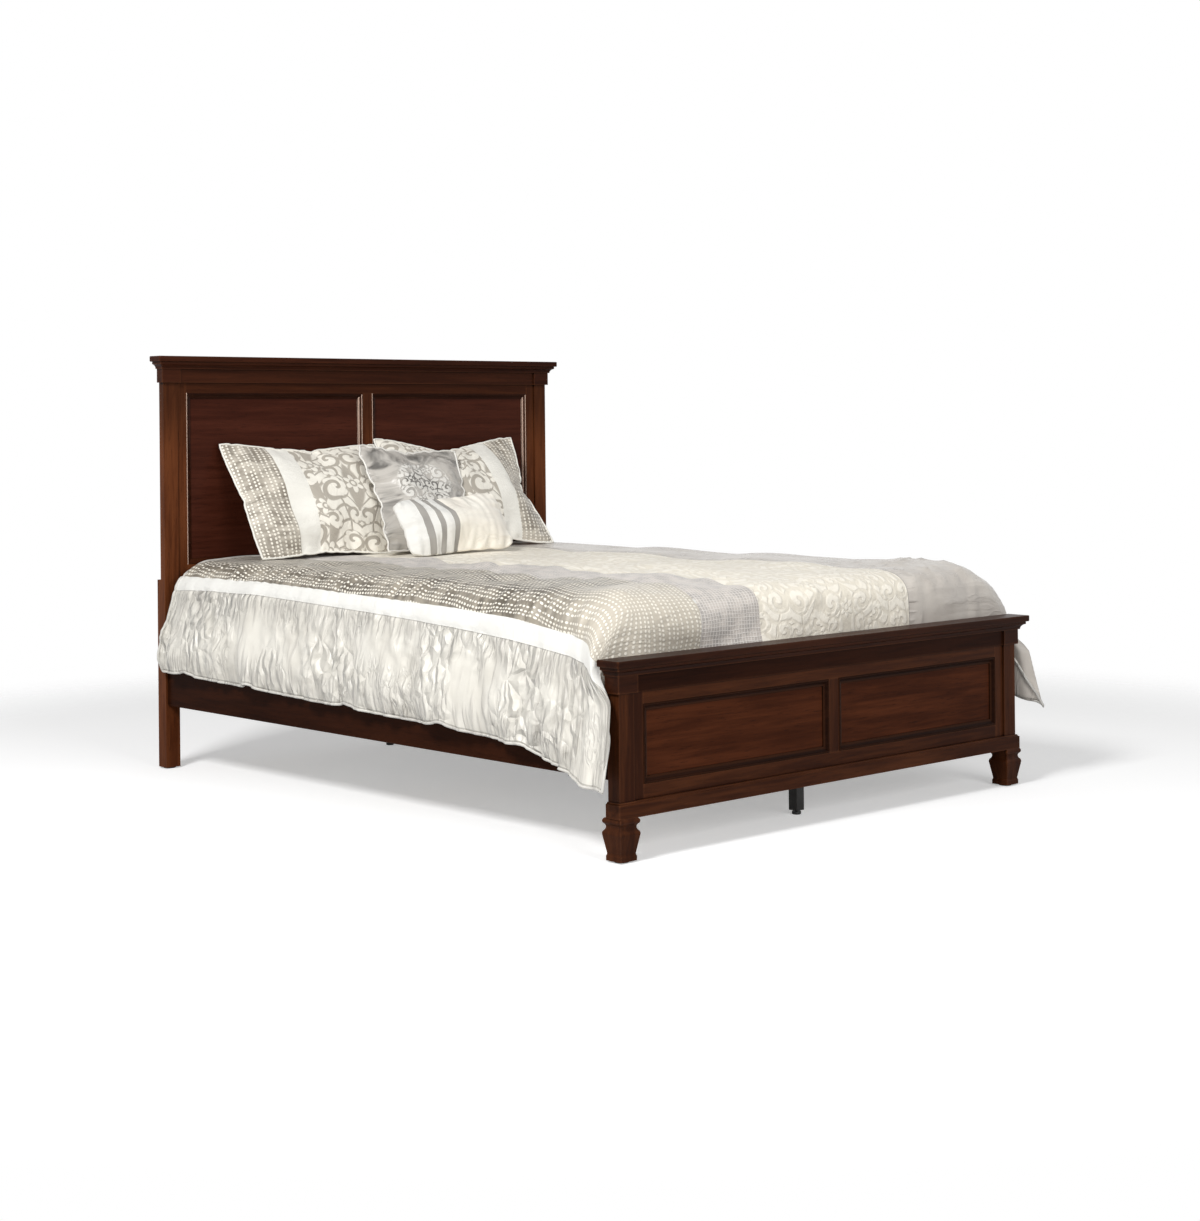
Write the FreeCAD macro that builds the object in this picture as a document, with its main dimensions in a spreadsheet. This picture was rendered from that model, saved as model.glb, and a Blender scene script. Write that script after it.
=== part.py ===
"""Panel bed with a made-up mattress: headboard, footboard, hooked side rails, slats and bedding.

Millimetres, +Z up, +Y towards the headboard, origin on the floor under the middle of the bed.
"""
import FreeCAD
import Part
import math
import os
import Sketcher

Vector = FreeCAD.Vector

SIZES = (
    # Whole bed
    ("post_span", 1640, "outer faces of the posts, across the bed"),
    ("frame_length", 2110, "footboard post face to headboard post face"),
    ("head_height", 1326, "floor to the top of the headboard cap"),
    ("foot_height", 508, "floor to the top of the footboard cap"),
    # Posts and legs
    ("post_width", 52, "post across the bed"),
    ("head_post_depth", 25, "headboard post along the bed"),
    ("foot_post_depth", 42, "footboard post along the bed"),
    ("rear_leg_depth", 20, "leg bolted behind each headboard post"),
    ("rear_leg_height", 606, "top of the rear legs above the floor"),
    ("glide_width", 40, "diameter of the floor glides"),
    ("glide_height", 4, "thickness of the floor glides"),
    ("glide_bevel", 1.5, "bevelled lower edge of a glide"),
    # Frame and panel
    ("frame_setback", 6, "frame face behind the post face"),
    ("frame_thickness", 19, "stiles, rails and mullion"),
    ("stile_width", 37, "stile beside the post"),
    ("top_rail_show", 33, "top rail below the frieze"),
    ("mullion_width", 40, "upright between the panels"),
    ("head_sill", 652, "lower edge of the headboard panels"),
    ("head_bottom_rail", 152, "height of the headboard bottom rail"),
    ("foot_sill", 188, "lower edge of the footboard panels"),
    ("groove_depth", 8, "panel groove"),
    ("panel_thickness", 6, "flat panel"),
    ("panel_setback", 9, "panel behind the frame face"),
    ("panel_play", 1, "room for the panel to swell in its groove"),
    ("tongue_depth", 8, "stile tongue in the post"),
    ("tongue_thickness", 7, "stile tongue"),
    ("joint_gap", 0.2, "clearance of a tongue in its groove"),
    # Panel moulding
    ("moulding_width", 18, "mitred moulding round each panel"),
    ("moulding_bead", 5, "outer bead of the moulding"),
    ("moulding_rise", 2, "bead above the frame face"),
    ("moulding_lip", 3, "inner edge of the moulding above the panel"),
    # Cornice
    ("cap_thickness", 18, "cap board"),
    ("cap_overhang", 33, "cap beyond the posts, front and ends"),
    ("cap_lip", 4, "cap beyond the post at the back"),
    ("cap_round", 3, "eased edge of the cap"),
    ("crown_fillet", 8, "square edge of the crown under the cap"),
    ("crown_reach", 25, "crown beyond the posts at its top"),
    ("cove_height", 15, "hollow of the crown"),
    ("cove_reach", 12.5, "crown beyond the posts at its foot"),
    ("crown_bearing", 14, "crown over the post heads"),
    ("capital_height", 44, "collar round the post head"),
    ("capital_reach", 8, "collar beyond the post"),
    ("frieze_reach", 2, "frieze beyond the post face"),
    # Plinth and feet of the footboard
    ("plinth_height", 40, "base moulding of the footboard"),
    ("plinth_reach", 9, "plinth beyond the posts"),
    ("plinth_nose", 5, "hollowed upper edge of the plinth"),
    ("foot_top", 111, "top of the shaped feet above the floor"),
    ("foot_inset", 24, "foot axis from the outer post face"),
    ("foot_bead_width", 68, "bead at the top of a foot"),
    ("foot_bead_height", 15, "bead at the top of a foot"),
    ("foot_neck_width", 60, "neck under the bead"),
    ("foot_neck_height", 15, "neck under the bead"),
    ("foot_shoulder_width", 68, "widest part of the tapered shaft"),
    ("foot_shoulder_height", 12, "rounded shoulder"),
    ("foot_ankle_width", 51, "narrowest part of the shaft"),
    ("foot_flare_height", 7, "flare above the toe"),
    ("foot_toe_width", 55, "toe of the foot"),
    ("foot_toe_height", 12, "toe of the foot"),
    # Side rails
    ("rail_bottom", 202, "lower edge of the side rails above the floor"),
    ("rail_height", 150, "side rail"),
    ("rail_thickness", 25, "side rail"),
    ("rail_setback", 9, "rail face inside the outer post face"),
    ("rail_round", 3, "eased long edges of a rail"),
    ("cleat_width", 22, "cleat across the bed"),
    ("cleat_height", 25, "cleat on the rail"),
    ("cleat_short", 40, "cleat end from the rail end"),
    ("cleat_raise", 6, "cleat above the lower edge of the rail"),
    # Rail hardware
    ("plate_thickness", 2.5, "steel hook and slot plates"),
    ("plate_height", 110, "hook and slot plates"),
    ("hook_plate_length", 60, "hook plate along the rail"),
    ("slot_plate_width", 30, "slotted plate in the post"),
    ("hook_neck", 14, "height of a hook where it passes the slot"),
    ("hook_drop", 9, "hook below the lower edge of its slot"),
    ("hook_nose", 5, "hook behind the slotted plate"),
    ("hook_gap", 0.6, "clearance round a hook"),
    ("hook_pitch", 48, "spacing of the two hooks"),
    ("lift_room", 2, "spare slot height for lifting the rail off"),
    ("pocket_width", 12, "pocket in the post behind the slots"),
    ("screw_width", 4, "shank of the wood screws"),
    ("screw_head_width", 8, "head of the wood screws"),
    ("screw_head_height", 2.4, "head of the wood screws"),
    ("screw_bite", 14, "wood screw past the piece it holds"),
    ("screw_gap", 0.1, "clearance round a screw"),
    ("sink_gap", 0.5, "clearance round a sunk head"),
    ("bolt_width", 6, "bolts of the rear legs"),
    ("bolt_head_width", 12, "bolts of the rear legs"),
    ("bolt_head_height", 4, "bolts of the rear legs"),
    ("bolt_sunk", 5, "depth of the bolt head recess"),
    ("bolt_bite", 17, "bolt in the post"),
    ("bolt_margin", 70, "bolts from the ends of the rear leg"),
    # Slats and centre legs
    ("slat_thickness", 20, "cross slat"),
    ("slat_width", 70, "cross slat"),
    ("slat_gap", 2, "slat end to the rail"),
    ("slat_margin", 105, "outer slat axis from the end of the rail"),
    ("leg_side", 30, "square centre leg"),
    ("leg_screw_sunk", 5, "depth of the screw head recess over a centre leg"),
    ("leg_screw_bite", 28, "screw in the centre leg"),
    ("leveller_pad_width", 26, "levelling foot"),
    ("leveller_pad_height", 8, "levelling foot"),
    ("leveller_gap", 4, "pad below the leg at rest"),
    ("stem_width", 8, "screw of the levelling foot"),
    ("stem_length", 34, "screw of the levelling foot"),
    ("stem_gap", 0.3, "clearance round the stem"),
    ("stem_room", 12, "hole above the stem"),
    ("sleeve_wall", 2.2, "threaded sleeve in the leg"),
    ("sleeve_length", 25, "threaded sleeve in the leg"),
    # Mattress and foundation
    ("side_gap", 24, "mattress to the side rails"),
    ("foot_gap", 30, "mattress to the footboard posts"),
    ("head_gap", 6, "mattress to the headboard posts"),
    ("mattress_width", "=post_span - (rail_setback + rail_thickness + side_gap) * 2",
     "mattress and foundation"),
    ("mattress_length", "=frame_length - foot_post_depth - foot_gap - head_gap",
     "mattress and foundation"),
    ("mattress_height", 260, "mattress"),
    ("mattress_round", 30, "rounded edges of the mattress"),
    ("foundation_height", 127, "low foundation"),
    ("foundation_round", 12, "rounded corners of the foundation"),
    # Comforter
    ("quilt_thickness", 25, "comforter on the mattress"),
    ("quilt_bulge", 50, "side of the comforter beyond the mattress"),
    ("quilt_shoulder", 120, "rounded edge of the comforter"),
    ("quilt_hem", 12, "comforter at its hem"),
    ("quilt_head_gap", 12, "comforter edge to the headboard posts"),
    ("quilt_droop", 10, "fall of the comforter over the foot of the mattress"),
    ("hem_head", 314, "hem above the floor at the head"),
    ("hem_foot", 266, "hem above the floor before the corner"),
    ("hem_clear", 14, "hem inside face to the rail"),
    ("knee_clear", 3, "comforter to the upper edge of the rail"),
    ("knee_raise", 40, "start of the hanging side above the rail"),
    ("fold_depth", 8, "depth of the folds at the hem"),
    ("fold_count", 6, "folds along each side"),
    ("corner_fall", 88, "hanging corner below the hem"),
    ("corner_flare", 92, "hanging corner beyond the post"),
    ("corner_ahead", 2, "tip of the hanging corner before the post face"),
    ("corner_edge", 130, "height of the free edge of the hanging corner"),
    ("tuck_depth", 225, "comforter behind the footboard"),
    ("tuck_thickness", 18, "comforter behind the footboard"),
    ("rest_gap", 0.3, "clearance of soft pieces"),
    # Pillows
    ("sham_space", 6, "between the two shams"),
    ("sham_margin", 137, "outer edge of a sham to the post, with the pair in the middle"),
    ("sham_width", "=post_span / 2 - post_width - sham_margin - sham_space / 2",
     "pillow sham"),
    ("sham_height", 445, "pillow sham"),
    ("sham_depth", 130, "pillow sham at its crown"),
    ("sham_offset", 16, "pair of shams to the right of the middle"),
    ("sham_stand", 235, "foot of the shams before the headboard"),
    ("square_side", 402, "square cushion"),
    ("square_depth", 110, "square cushion at its crown"),
    ("square_lean", 207, "upper edge of the square cushion behind its lower edge"),
    ("square_roll", -28, "rise of its lower edge from left to right"),
    ("square_offset", 76, "square cushion to the right of the middle"),
    ("square_space", 78, "foot of the square cushion before the shams"),
    ("oblong_width", 425, "oblong cushion"),
    ("oblong_height", 216, "oblong cushion"),
    ("oblong_depth", 100, "oblong cushion at its crown"),
    ("oblong_lean", 108, "upper edge of the oblong cushion behind its lower edge"),
    ("oblong_roll", -15, "rise of its lower edge from left to right"),
    ("oblong_offset", 22, "oblong cushion to the right of the middle"),
    ("oblong_space", 165, "foot of the oblong cushion before the square one"),
    ("seam_draw", 14, "pillow edges drawn in between the corners"),
)

document = FreeCAD.newDocument("panel_bed")
sheet = document.addObject("Spreadsheet::Sheet", "sizes")
for row, (alias, amount, meaning) in enumerate(SIZES, start=1):
    sheet.set(f"A{row}", alias)
    sheet.set(f"B{row}", str(amount))
    sheet.setAlias(f"B{row}", alias)
    sheet.set(f"C{row}", meaning)
document.recompute()


class Length:
    """A length kept as an expression of the sheet's cells."""

    def __init__(self, text):
        self.text = str(text)

    @property
    def value(self):
        return float(sheet.evalExpression(self.text))

    def __add__(self, other):
        return Length(f"({self.text} + {as_text(other)})")

    def __radd__(self, other):
        return Length(f"({as_text(other)} + {self.text})")

    def __sub__(self, other):
        return Length(f"({self.text} - {as_text(other)})")

    def __rsub__(self, other):
        return Length(f"({as_text(other)} - {self.text})")

    def __mul__(self, other):
        return Length(f"({self.text} * {as_text(other)})")

    def __truediv__(self, other):
        return Length(f"({self.text} / {as_text(other)})")

    def __neg__(self):
        return Length(f"(0 - {self.text})")


def as_text(term):
    return term.text if isinstance(term, Length) else str(term)


def as_length(term):
    return term if isinstance(term, Length) else Length(term)


class Sheet:
    """Reads a cell of the sheet by its alias."""

    def __getattr__(self, alias):
        return Length(f"sizes.{alias}")


size = Sheet()
sub_parts = []


def bind(thing, path, length):
    thing.setExpression(path, as_text(length))


def keep(thing, label):
    """Give a finished sub-part its label and list it for export."""
    thing.Label = label
    sub_parts.append(thing)
    return thing


def across(side, inner, outer):
    """Limits along X of a piece between two distances from the middle, on one side."""
    return (inner, outer) if side > 0 else (-outer, -inner)


def block(name, x, y, z):
    """Box between two limits on each axis."""
    box = document.addObject("Part::Box", name)
    for axis, edge, (low, high) in zip("xyz", ("Length", "Width", "Height"), (x, y, z)):
        bind(box, f"Placement.Base.{axis}", low)
        bind(box, edge, as_length(high) - low)
    return box


AXES = {
    "x": FreeCAD.Rotation(Vector(0, 1, 0), 90),
    "y": FreeCAD.Rotation(Vector(1, 0, 0), -90),
    "z": FreeCAD.Rotation(),
    "-x": FreeCAD.Rotation(Vector(0, 1, 0), -90),
    "-y": FreeCAD.Rotation(Vector(1, 0, 0), 90),
    "-z": FreeCAD.Rotation(Vector(1, 0, 0), 180),
}


def place(thing, at, axis="z"):
    """Turn a piece's own Z to an axis and move its origin."""
    thing.Placement = FreeCAD.Placement(Vector(), AXES[axis])
    for letter, position in zip("xyz", at):
        bind(thing, f"Placement.Base.{letter}", position)
    return thing


def bore(name, width, depth, at, axis):
    """Cylinder for a drilled hole."""
    drill = document.addObject("Part::Cylinder", name)
    bind(drill, "Radius", as_length(width) / 2)
    bind(drill, "Height", depth)
    return place(drill, at, axis)


def fuse(name, pieces):
    joined = document.addObject("Part::MultiFuse", name)
    joined.Shapes = pieces
    return joined


def cut(name, base, tools):
    trimmed = document.addObject("Part::Cut", name)
    trimmed.Base = base
    trimmed.Tool = tools[0] if len(tools) == 1 else fuse(f"{name}_cuts", tools)
    return trimmed


def group(name, pieces):
    """Several like solids in one sub-part."""
    gathered = document.addObject("Part::Compound", name)
    gathered.Links = pieces
    return gathered


def origin_plane(body, role):
    return next(plane for plane in body.Origin.OriginFeatures if plane.Role == role)


def sketch_on(body, role, name):
    sketch = body.newObject("Sketcher::SketchObject", name)
    sketch.AttachmentSupport = [(origin_plane(body, role), "")]
    sketch.MapMode = "FlatFace"
    return sketch


def pin(sketch, edge, end, corner):
    """Hold one end of an edge at two bound distances from the sketch origin."""
    for kind, distance in zip(("DistanceX", "DistanceY"), corner):
        length = as_length(distance)
        index = sketch.addConstraint(
            Sketcher.Constraint(kind, -1, 1, edge, end, length.value))
        bind(sketch, f"Constraints[{index}]", length)


def draw(sketch, corners, bulges=None, closed=True):
    """Outline through bound corners.

    bulges gives, by the number of the edge, the bound radius of an arc and the side it
    bows to: 1 to the right of the way from corner to corner, -1 to the left.
    """
    bulges = bulges or {}
    points = [Vector(as_length(x).value, as_length(y).value, 0) for x, y in corners]
    count = len(points) if closed else len(points) - 1
    starts = []
    for edge in range(count):
        first, last = points[edge], points[(edge + 1) % len(points)]
        if edge in bulges:
            radius, side = bulges[edge]
            half = (last - first) * 0.5
            rise = radius.value - math.sqrt(radius.value ** 2 - half.Length ** 2)
            right = Vector(half.y, -half.x, 0).normalize()
            middle = first + half + right * (side * rise)
            sketch.addGeometry(Part.ArcOfCircle(first, middle, last), False)
            forward = side > 0
            index = sketch.addConstraint(Sketcher.Constraint("Radius", edge, radius.value))
            bind(sketch, f"Constraints[{index}]", radius)
        else:
            sketch.addGeometry(Part.LineSegment(first, last), False)
            forward = True
        starts.append((1, 2) if forward else (2, 1))
    for edge in range(count if closed else count - 1):
        following = (edge + 1) % count
        sketch.addConstraint(Sketcher.Constraint(
            "Coincident", edge, starts[edge][1], following, starts[following][0]))
    for edge in range(count):
        pin(sketch, edge, starts[edge][0], corners[edge])
    if not closed:
        pin(sketch, count - 1, starts[-1][1], corners[-1])
    return sketch


def pad(body, sketch, length, midplane=False, reverse=False):
    padded = body.newObject("PartDesign::Pad", f"{sketch.Name}_pad")
    padded.Profile = sketch
    bind(padded, "Length", length)
    padded.Midplane = midplane
    padded.Reversed = reverse
    return padded


def ease(body, feature, radius, chosen):
    """Round the edges of a feature that a test picks."""
    document.recompute()
    names = [f"Edge{number}" for number, edge in enumerate(feature.Shape.Edges, start=1)
             if chosen(edge)]
    rounded = body.newObject("PartDesign::Fillet", f"{feature.Name}_round")
    rounded.Base = (feature, names)
    bind(rounded, "Radius", radius)
    return rounded


def arc_radius(chord, rise):
    """Radius of an arc over a chord that it stands out from by rise."""
    return (chord * chord / 4 + rise * rise) / (rise * 2)


def runs_along(axis):
    direction = {"x": Vector(1, 0, 0), "y": Vector(0, 1, 0), "z": Vector(0, 0, 1)}[axis]

    def test(edge):
        ends = edge.Vertexes[-1].Point - edge.Vertexes[0].Point
        return ends.cross(direction).Length < 1e-6

    return test


def any_edge(edge):
    return edge.Length > 0


def turned(name, corners, bulges=None):
    """Body turned about its own Z from an outline of (radius, height) corners."""
    body = document.addObject("PartDesign::Body", name)
    outline = draw(sketch_on(body, "XZ_Plane", f"{name}_outline"), corners, bulges)
    turn = body.newObject("PartDesign::Revolution", f"{name}_turn")
    turn.Profile = outline
    turn.ReferenceAxis = (outline, ["V_Axis"])
    turn.Angle = 360
    return body


def swept(name, profile_role, profile, bulges, path_role, path, closed=False):
    """Body swept along a mitred path from a profile drawn at the start of the path."""
    body = document.addObject("PartDesign::Body", name)
    route = draw(sketch_on(body, path_role, f"{name}_path"), path, closed=closed)
    outline = draw(sketch_on(body, profile_role, f"{name}_profile"), profile, bulges)
    pipe = body.newObject("PartDesign::AdditivePipe", f"{name}_pipe")
    pipe.Profile = outline
    pipe.Spine = route
    pipe.Transition = "Right corner"
    return body


def hexagon_bar(name, width, low, high):
    """Six-sided bar about its own Z, as wide as said over its corners."""
    bar = document.addObject("Part::Prism", name)
    bar.Polygon = 6
    bind(bar, "Circumradius", as_length(width) / 2)
    bind(bar, "Height", as_length(high) - low)
    bind(bar, "Placement.Base.z", low)
    return bar


def wood_screw(name, length, at, axis):
    """Six-sided screw; its origin is under the head and its Z points out of the head."""
    shank = hexagon_bar(f"{name}_shank", size.screw_width, -length, 0)
    head = hexagon_bar(f"{name}_head", size.screw_head_width, 0, size.screw_head_height)
    return place(fuse(name, [shank, head]), at, axis)


def screw_hole(name, depth, at, axis):
    return bore(name, size.screw_width + size.screw_gap * 2, depth, at, axis)


# Levels and planes that several pieces share
half_span = size.post_span / 2
post_inner = half_span - size.post_width
post_axis = half_span - size.post_width / 2
opening_edge = post_inner - size.stile_width
mullion_edge = size.mullion_width / 2
foot_face = (size.cap_overhang - size.frame_length - size.head_post_depth
             - size.rear_leg_depth) / 2
head_face = foot_face + size.frame_length
crown_height = size.cove_height + size.crown_fillet
rail_start = foot_face + size.foot_post_depth
rail_length = head_face - rail_start
rail_outer = half_span - size.rail_setback
rail_inner = rail_outer - size.rail_thickness
rail_top = size.rail_bottom + size.rail_height
plate_low = size.rail_bottom + (size.rail_height - size.plate_height) / 2
plate_axis = rail_inner + size.plate_thickness / 2
slot_inner = plate_axis - size.slot_plate_width / 2
slot_outer = plate_axis + size.slot_plate_width / 2
hook_low = plate_low + (size.plate_height - size.hook_pitch - size.hook_neck) / 2
hook_levels = (hook_low, hook_low + size.hook_pitch)
hook_reach = size.plate_thickness + size.hook_gap + size.hook_nose
plate_screw_margin = size.screw_head_width
slot_screw_axis = slot_inner + size.screw_head_width / 2 + size.plate_thickness
slat_bottom = size.rail_bottom + size.cleat_raise + size.cleat_height
slat_top = slat_bottom + size.slat_thickness
mattress_base = slat_top + size.foundation_height
mattress_top = mattress_base + size.mattress_height
mattress_half = size.mattress_width / 2
mattress_head = head_face - size.head_gap
mattress_foot = mattress_head - size.mattress_length


def rail_hardware_cuts(name, side, face, way):
    """Recess, pocket and screw holes for a slotted plate in a post.

    face is the plane that the rail meets, and way is 1 where the post lies beyond it along +Y.
    """
    def behind(near, far):
        low, high = face + as_length(near) * way, face + as_length(far) * way
        return (low, high) if way > 0 else (high, low)

    recess = block(f"{name}_recess", across(side, slot_inner, slot_outer),
                   behind(0, size.plate_thickness),
                   (plate_low, plate_low + size.plate_height))
    pocket = block(
        f"{name}_pocket",
        across(side, plate_axis - size.pocket_width / 2, plate_axis + size.pocket_width / 2),
        behind(0, hook_reach + size.lift_room),
        (hook_low - size.hook_drop - size.lift_room,
         hook_levels[1] + size.hook_neck + size.hook_drop + size.lift_room))
    holes = [
        screw_hole(f"{name}_hole_{number}", size.screw_bite + size.plate_thickness,
                   (slot_screw_axis * side, face, level), "y" if way > 0 else "-y")
        for number, level in enumerate(plate_screw_levels(), start=1)]
    return [recess, pocket] + holes


def plate_screw_levels():
    return (plate_low + plate_screw_margin,
            plate_low + size.plate_height - plate_screw_margin)


def post(name, side, face, depth, bottom, top, rail_face, way):
    """Square post with the stile groove and the cuts for the rail's slotted plate."""
    groove_front = tongue_front(face) - size.joint_gap / 2
    stock = block(f"{name}_stock", across(side, post_inner, half_span),
                  (face, face + depth), (bottom, top))
    groove = block(f"{name}_groove", across(side, post_inner, post_inner + size.tongue_depth),
                   (groove_front, groove_front + size.tongue_thickness + size.joint_gap),
                   (bottom, top))
    return stock, [groove] + rail_hardware_cuts(name, side, rail_face, way)


def tongue_front(face):
    return face + size.frame_setback + (size.frame_thickness - size.tongue_thickness) / 2


class PanelBoard:
    """Framed pair of panels between two posts, with the cornice over them."""

    def __init__(self, prefix, face, post_depth, height, sill, frame_bottom):
        self.prefix = prefix
        self.face = face
        self.back = face + post_depth
        self.height = height
        self.sill = sill
        self.frame_bottom = frame_bottom
        self.cap_bottom = height - size.cap_thickness
        self.crown_bottom = self.cap_bottom - crown_height
        self.capital_bottom = self.crown_bottom - size.capital_height
        self.lintel = self.capital_bottom - size.top_rail_show
        self.frame_face = face + size.frame_setback
        self.frame_back = self.frame_face + size.frame_thickness
        self.panel_front = self.frame_face + size.panel_setback
        self.panel_back = self.panel_front + size.panel_thickness
        self.groove = (self.panel_front - size.joint_gap / 2,
                       self.panel_back + size.joint_gap / 2)
        self.tenon = size.groove_depth - size.panel_play

    def name(self, piece):
        return f"{self.prefix}_{piece}"

    def build(self):
        self.stiles()
        self.rails()
        self.mullion()
        self.panels()
        self.mouldings()
        self.capitals()
        self.frieze()
        self.crown()
        self.cap()

    def stiles(self):
        made = []
        for side, word in ((-1, "left"), (1, "right")):
            name = self.name(f"stile_{word}")
            front = tongue_front(self.face)
            tall = (self.frame_bottom, self.crown_bottom)
            stock = block(f"{name}_stock", across(side, opening_edge, post_inner),
                          (self.frame_face, self.frame_back), tall)
            tongue = block(f"{name}_tongue",
                           across(side, post_inner, post_inner + self.tongue_length()),
                           (front, front + size.tongue_thickness), tall)
            groove = block(f"{name}_groove",
                           across(side, opening_edge, opening_edge + size.groove_depth),
                           self.groove, tall)
            made.append(cut(name, fuse(f"{name}_blank", [stock, tongue]), [groove]))
        keep(group(self.name("stile_pair"), made), self.name("stiles"))

    def tongue_length(self):
        return size.tongue_depth - size.panel_play

    def rails(self):
        reach = opening_edge + self.tenon
        for word, low, high, mouth in (
                ("top_rail", self.lintel, self.crown_bottom,
                 (self.lintel, self.lintel + size.groove_depth)),
                ("bottom_rail", self.frame_bottom, self.sill,
                 (self.sill - size.groove_depth, self.sill))):
            name = self.name(word)
            stock = block(f"{name}_stock", (-opening_edge, opening_edge),
                          (self.frame_face, self.frame_back), (low, high))
            tenons = block(f"{name}_tenons", (-reach, reach),
                           (self.panel_front, self.panel_back), (low, high))
            groove = block(f"{name}_groove", (-reach, reach), self.groove, mouth)
            keep(cut(f"{name}_cut", fuse(f"{name}_blank", [stock, tenons]), [groove]), name)

    def mullion(self):
        name = self.name("mullion")
        stock = block(f"{name}_stock", (-mullion_edge, mullion_edge),
                      (self.frame_face, self.frame_back), (self.sill, self.lintel))
        tenons = block(f"{name}_tenons", (-mullion_edge, mullion_edge),
                       (self.panel_front, self.panel_back),
                       (self.sill - self.tenon, self.lintel + self.tenon))
        grooves = [
            block(f"{name}_groove_{word}",
                  across(side, mullion_edge - size.groove_depth, mullion_edge), self.groove,
                  (self.sill - size.groove_depth, self.lintel + size.groove_depth))
            for side, word in ((-1, "left"), (1, "right"))]
        keep(cut(f"{name}_cut", fuse(f"{name}_blank", [stock, tenons]), grooves), name)

    def panels(self):
        for side, word in ((-1, "left"), (1, "right")):
            panel = block(self.name(f"panel_{word}_board"),
                          across(side, mullion_edge - self.tenon, opening_edge + self.tenon),
                          (self.panel_front, self.panel_back),
                          (self.sill - self.tenon, self.lintel + self.tenon))
            keep(panel, self.name(f"panel_{word}"))

    def mouldings(self):
        half_width = (opening_edge - mullion_edge) / 2
        tall = self.lintel - self.sill
        throat = size.moulding_bead + size.moulding_rise
        profile = (
            (0, 0), (0, size.moulding_width), (-size.moulding_lip, size.moulding_width),
            (-size.panel_setback, throat), (-size.panel_setback, size.moulding_bead),
            (-size.panel_setback, 0))
        bulges = {2: (size.moulding_width, -1),
                  4: (arc_radius(size.moulding_bead, size.moulding_rise), 1)}
        path = ((0, 0), (half_width, 0), (half_width, tall), (-half_width, tall),
                (-half_width, 0))
        made = []
        for side, word in ((-1, "left"), (1, "right")):
            ring = swept(self.name(f"moulding_{word}"), "YZ_Plane", profile, bulges,
                         "XZ_Plane", path, closed=True)
            made.append(place(ring, ((mullion_edge + half_width) * side,
                                     self.panel_front, self.sill)))
        keep(group(self.name("moulding_pair"), made), self.name("panel_mouldings"))

    def capitals(self):
        made = []
        reach = size.capital_reach
        for side, word in ((-1, "left"), (1, "right")):
            name = self.name(f"capital_{word}")
            tall = (self.capital_bottom, self.crown_bottom)
            stock = block(f"{name}_stock", across(side, post_inner - reach, half_span + reach),
                          (self.face - reach, self.back), tall)
            core = block(f"{name}_core", across(side, post_inner, half_span),
                         (self.face, self.back), tall)
            frame_room = block(f"{name}_room", across(side, post_inner - reach, post_inner),
                               (self.frame_face, self.back), tall)
            made.append(cut(name, stock, [core, frame_room]))
        keep(group(self.name("capital_pair"), made), self.name("capitals"))

    def frieze(self):
        reach = post_inner - size.capital_reach
        board = block(self.name("frieze_board"), (-reach, reach),
                      (self.face - size.frieze_reach, self.frame_face),
                      (self.capital_bottom, self.crown_bottom))
        keep(board, self.name("frieze"))

    def crown(self):
        name = self.name("crown_moulding")
        depth = self.back - self.face
        inner = -half_span + size.crown_bearing
        profile = (
            (inner, 0), (-half_span - size.cove_reach, 0),
            (-half_span - size.crown_reach, size.cove_height),
            (-half_span - size.crown_reach, crown_height), (inner, crown_height))
        path = ((-half_span, 0), (-half_span, -depth), (half_span, -depth), (half_span, 0))
        crown = swept(f"{name}_body", "XZ_Plane", profile, {1: (size.cove_height, 1)},
                      "XY_Plane", path)
        keep(place(crown, (0, self.back, self.crown_bottom)), name)

    def cap(self):
        name = self.name("cap")
        reach = half_span + size.cap_overhang
        depth = self.back - self.face
        body = document.addObject("PartDesign::Body", f"{name}_body")
        outline = draw(sketch_on(body, "XY_Plane", f"{name}_outline"), (
            (-reach, -size.cap_overhang), (reach, -size.cap_overhang),
            (reach, depth + size.cap_lip), (-reach, depth + size.cap_lip)))
        board = pad(body, outline, size.cap_thickness)
        ease(body, board, size.cap_round, any_edge)
        keep(place(body, (0, self.face, self.cap_bottom)), name)


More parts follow.
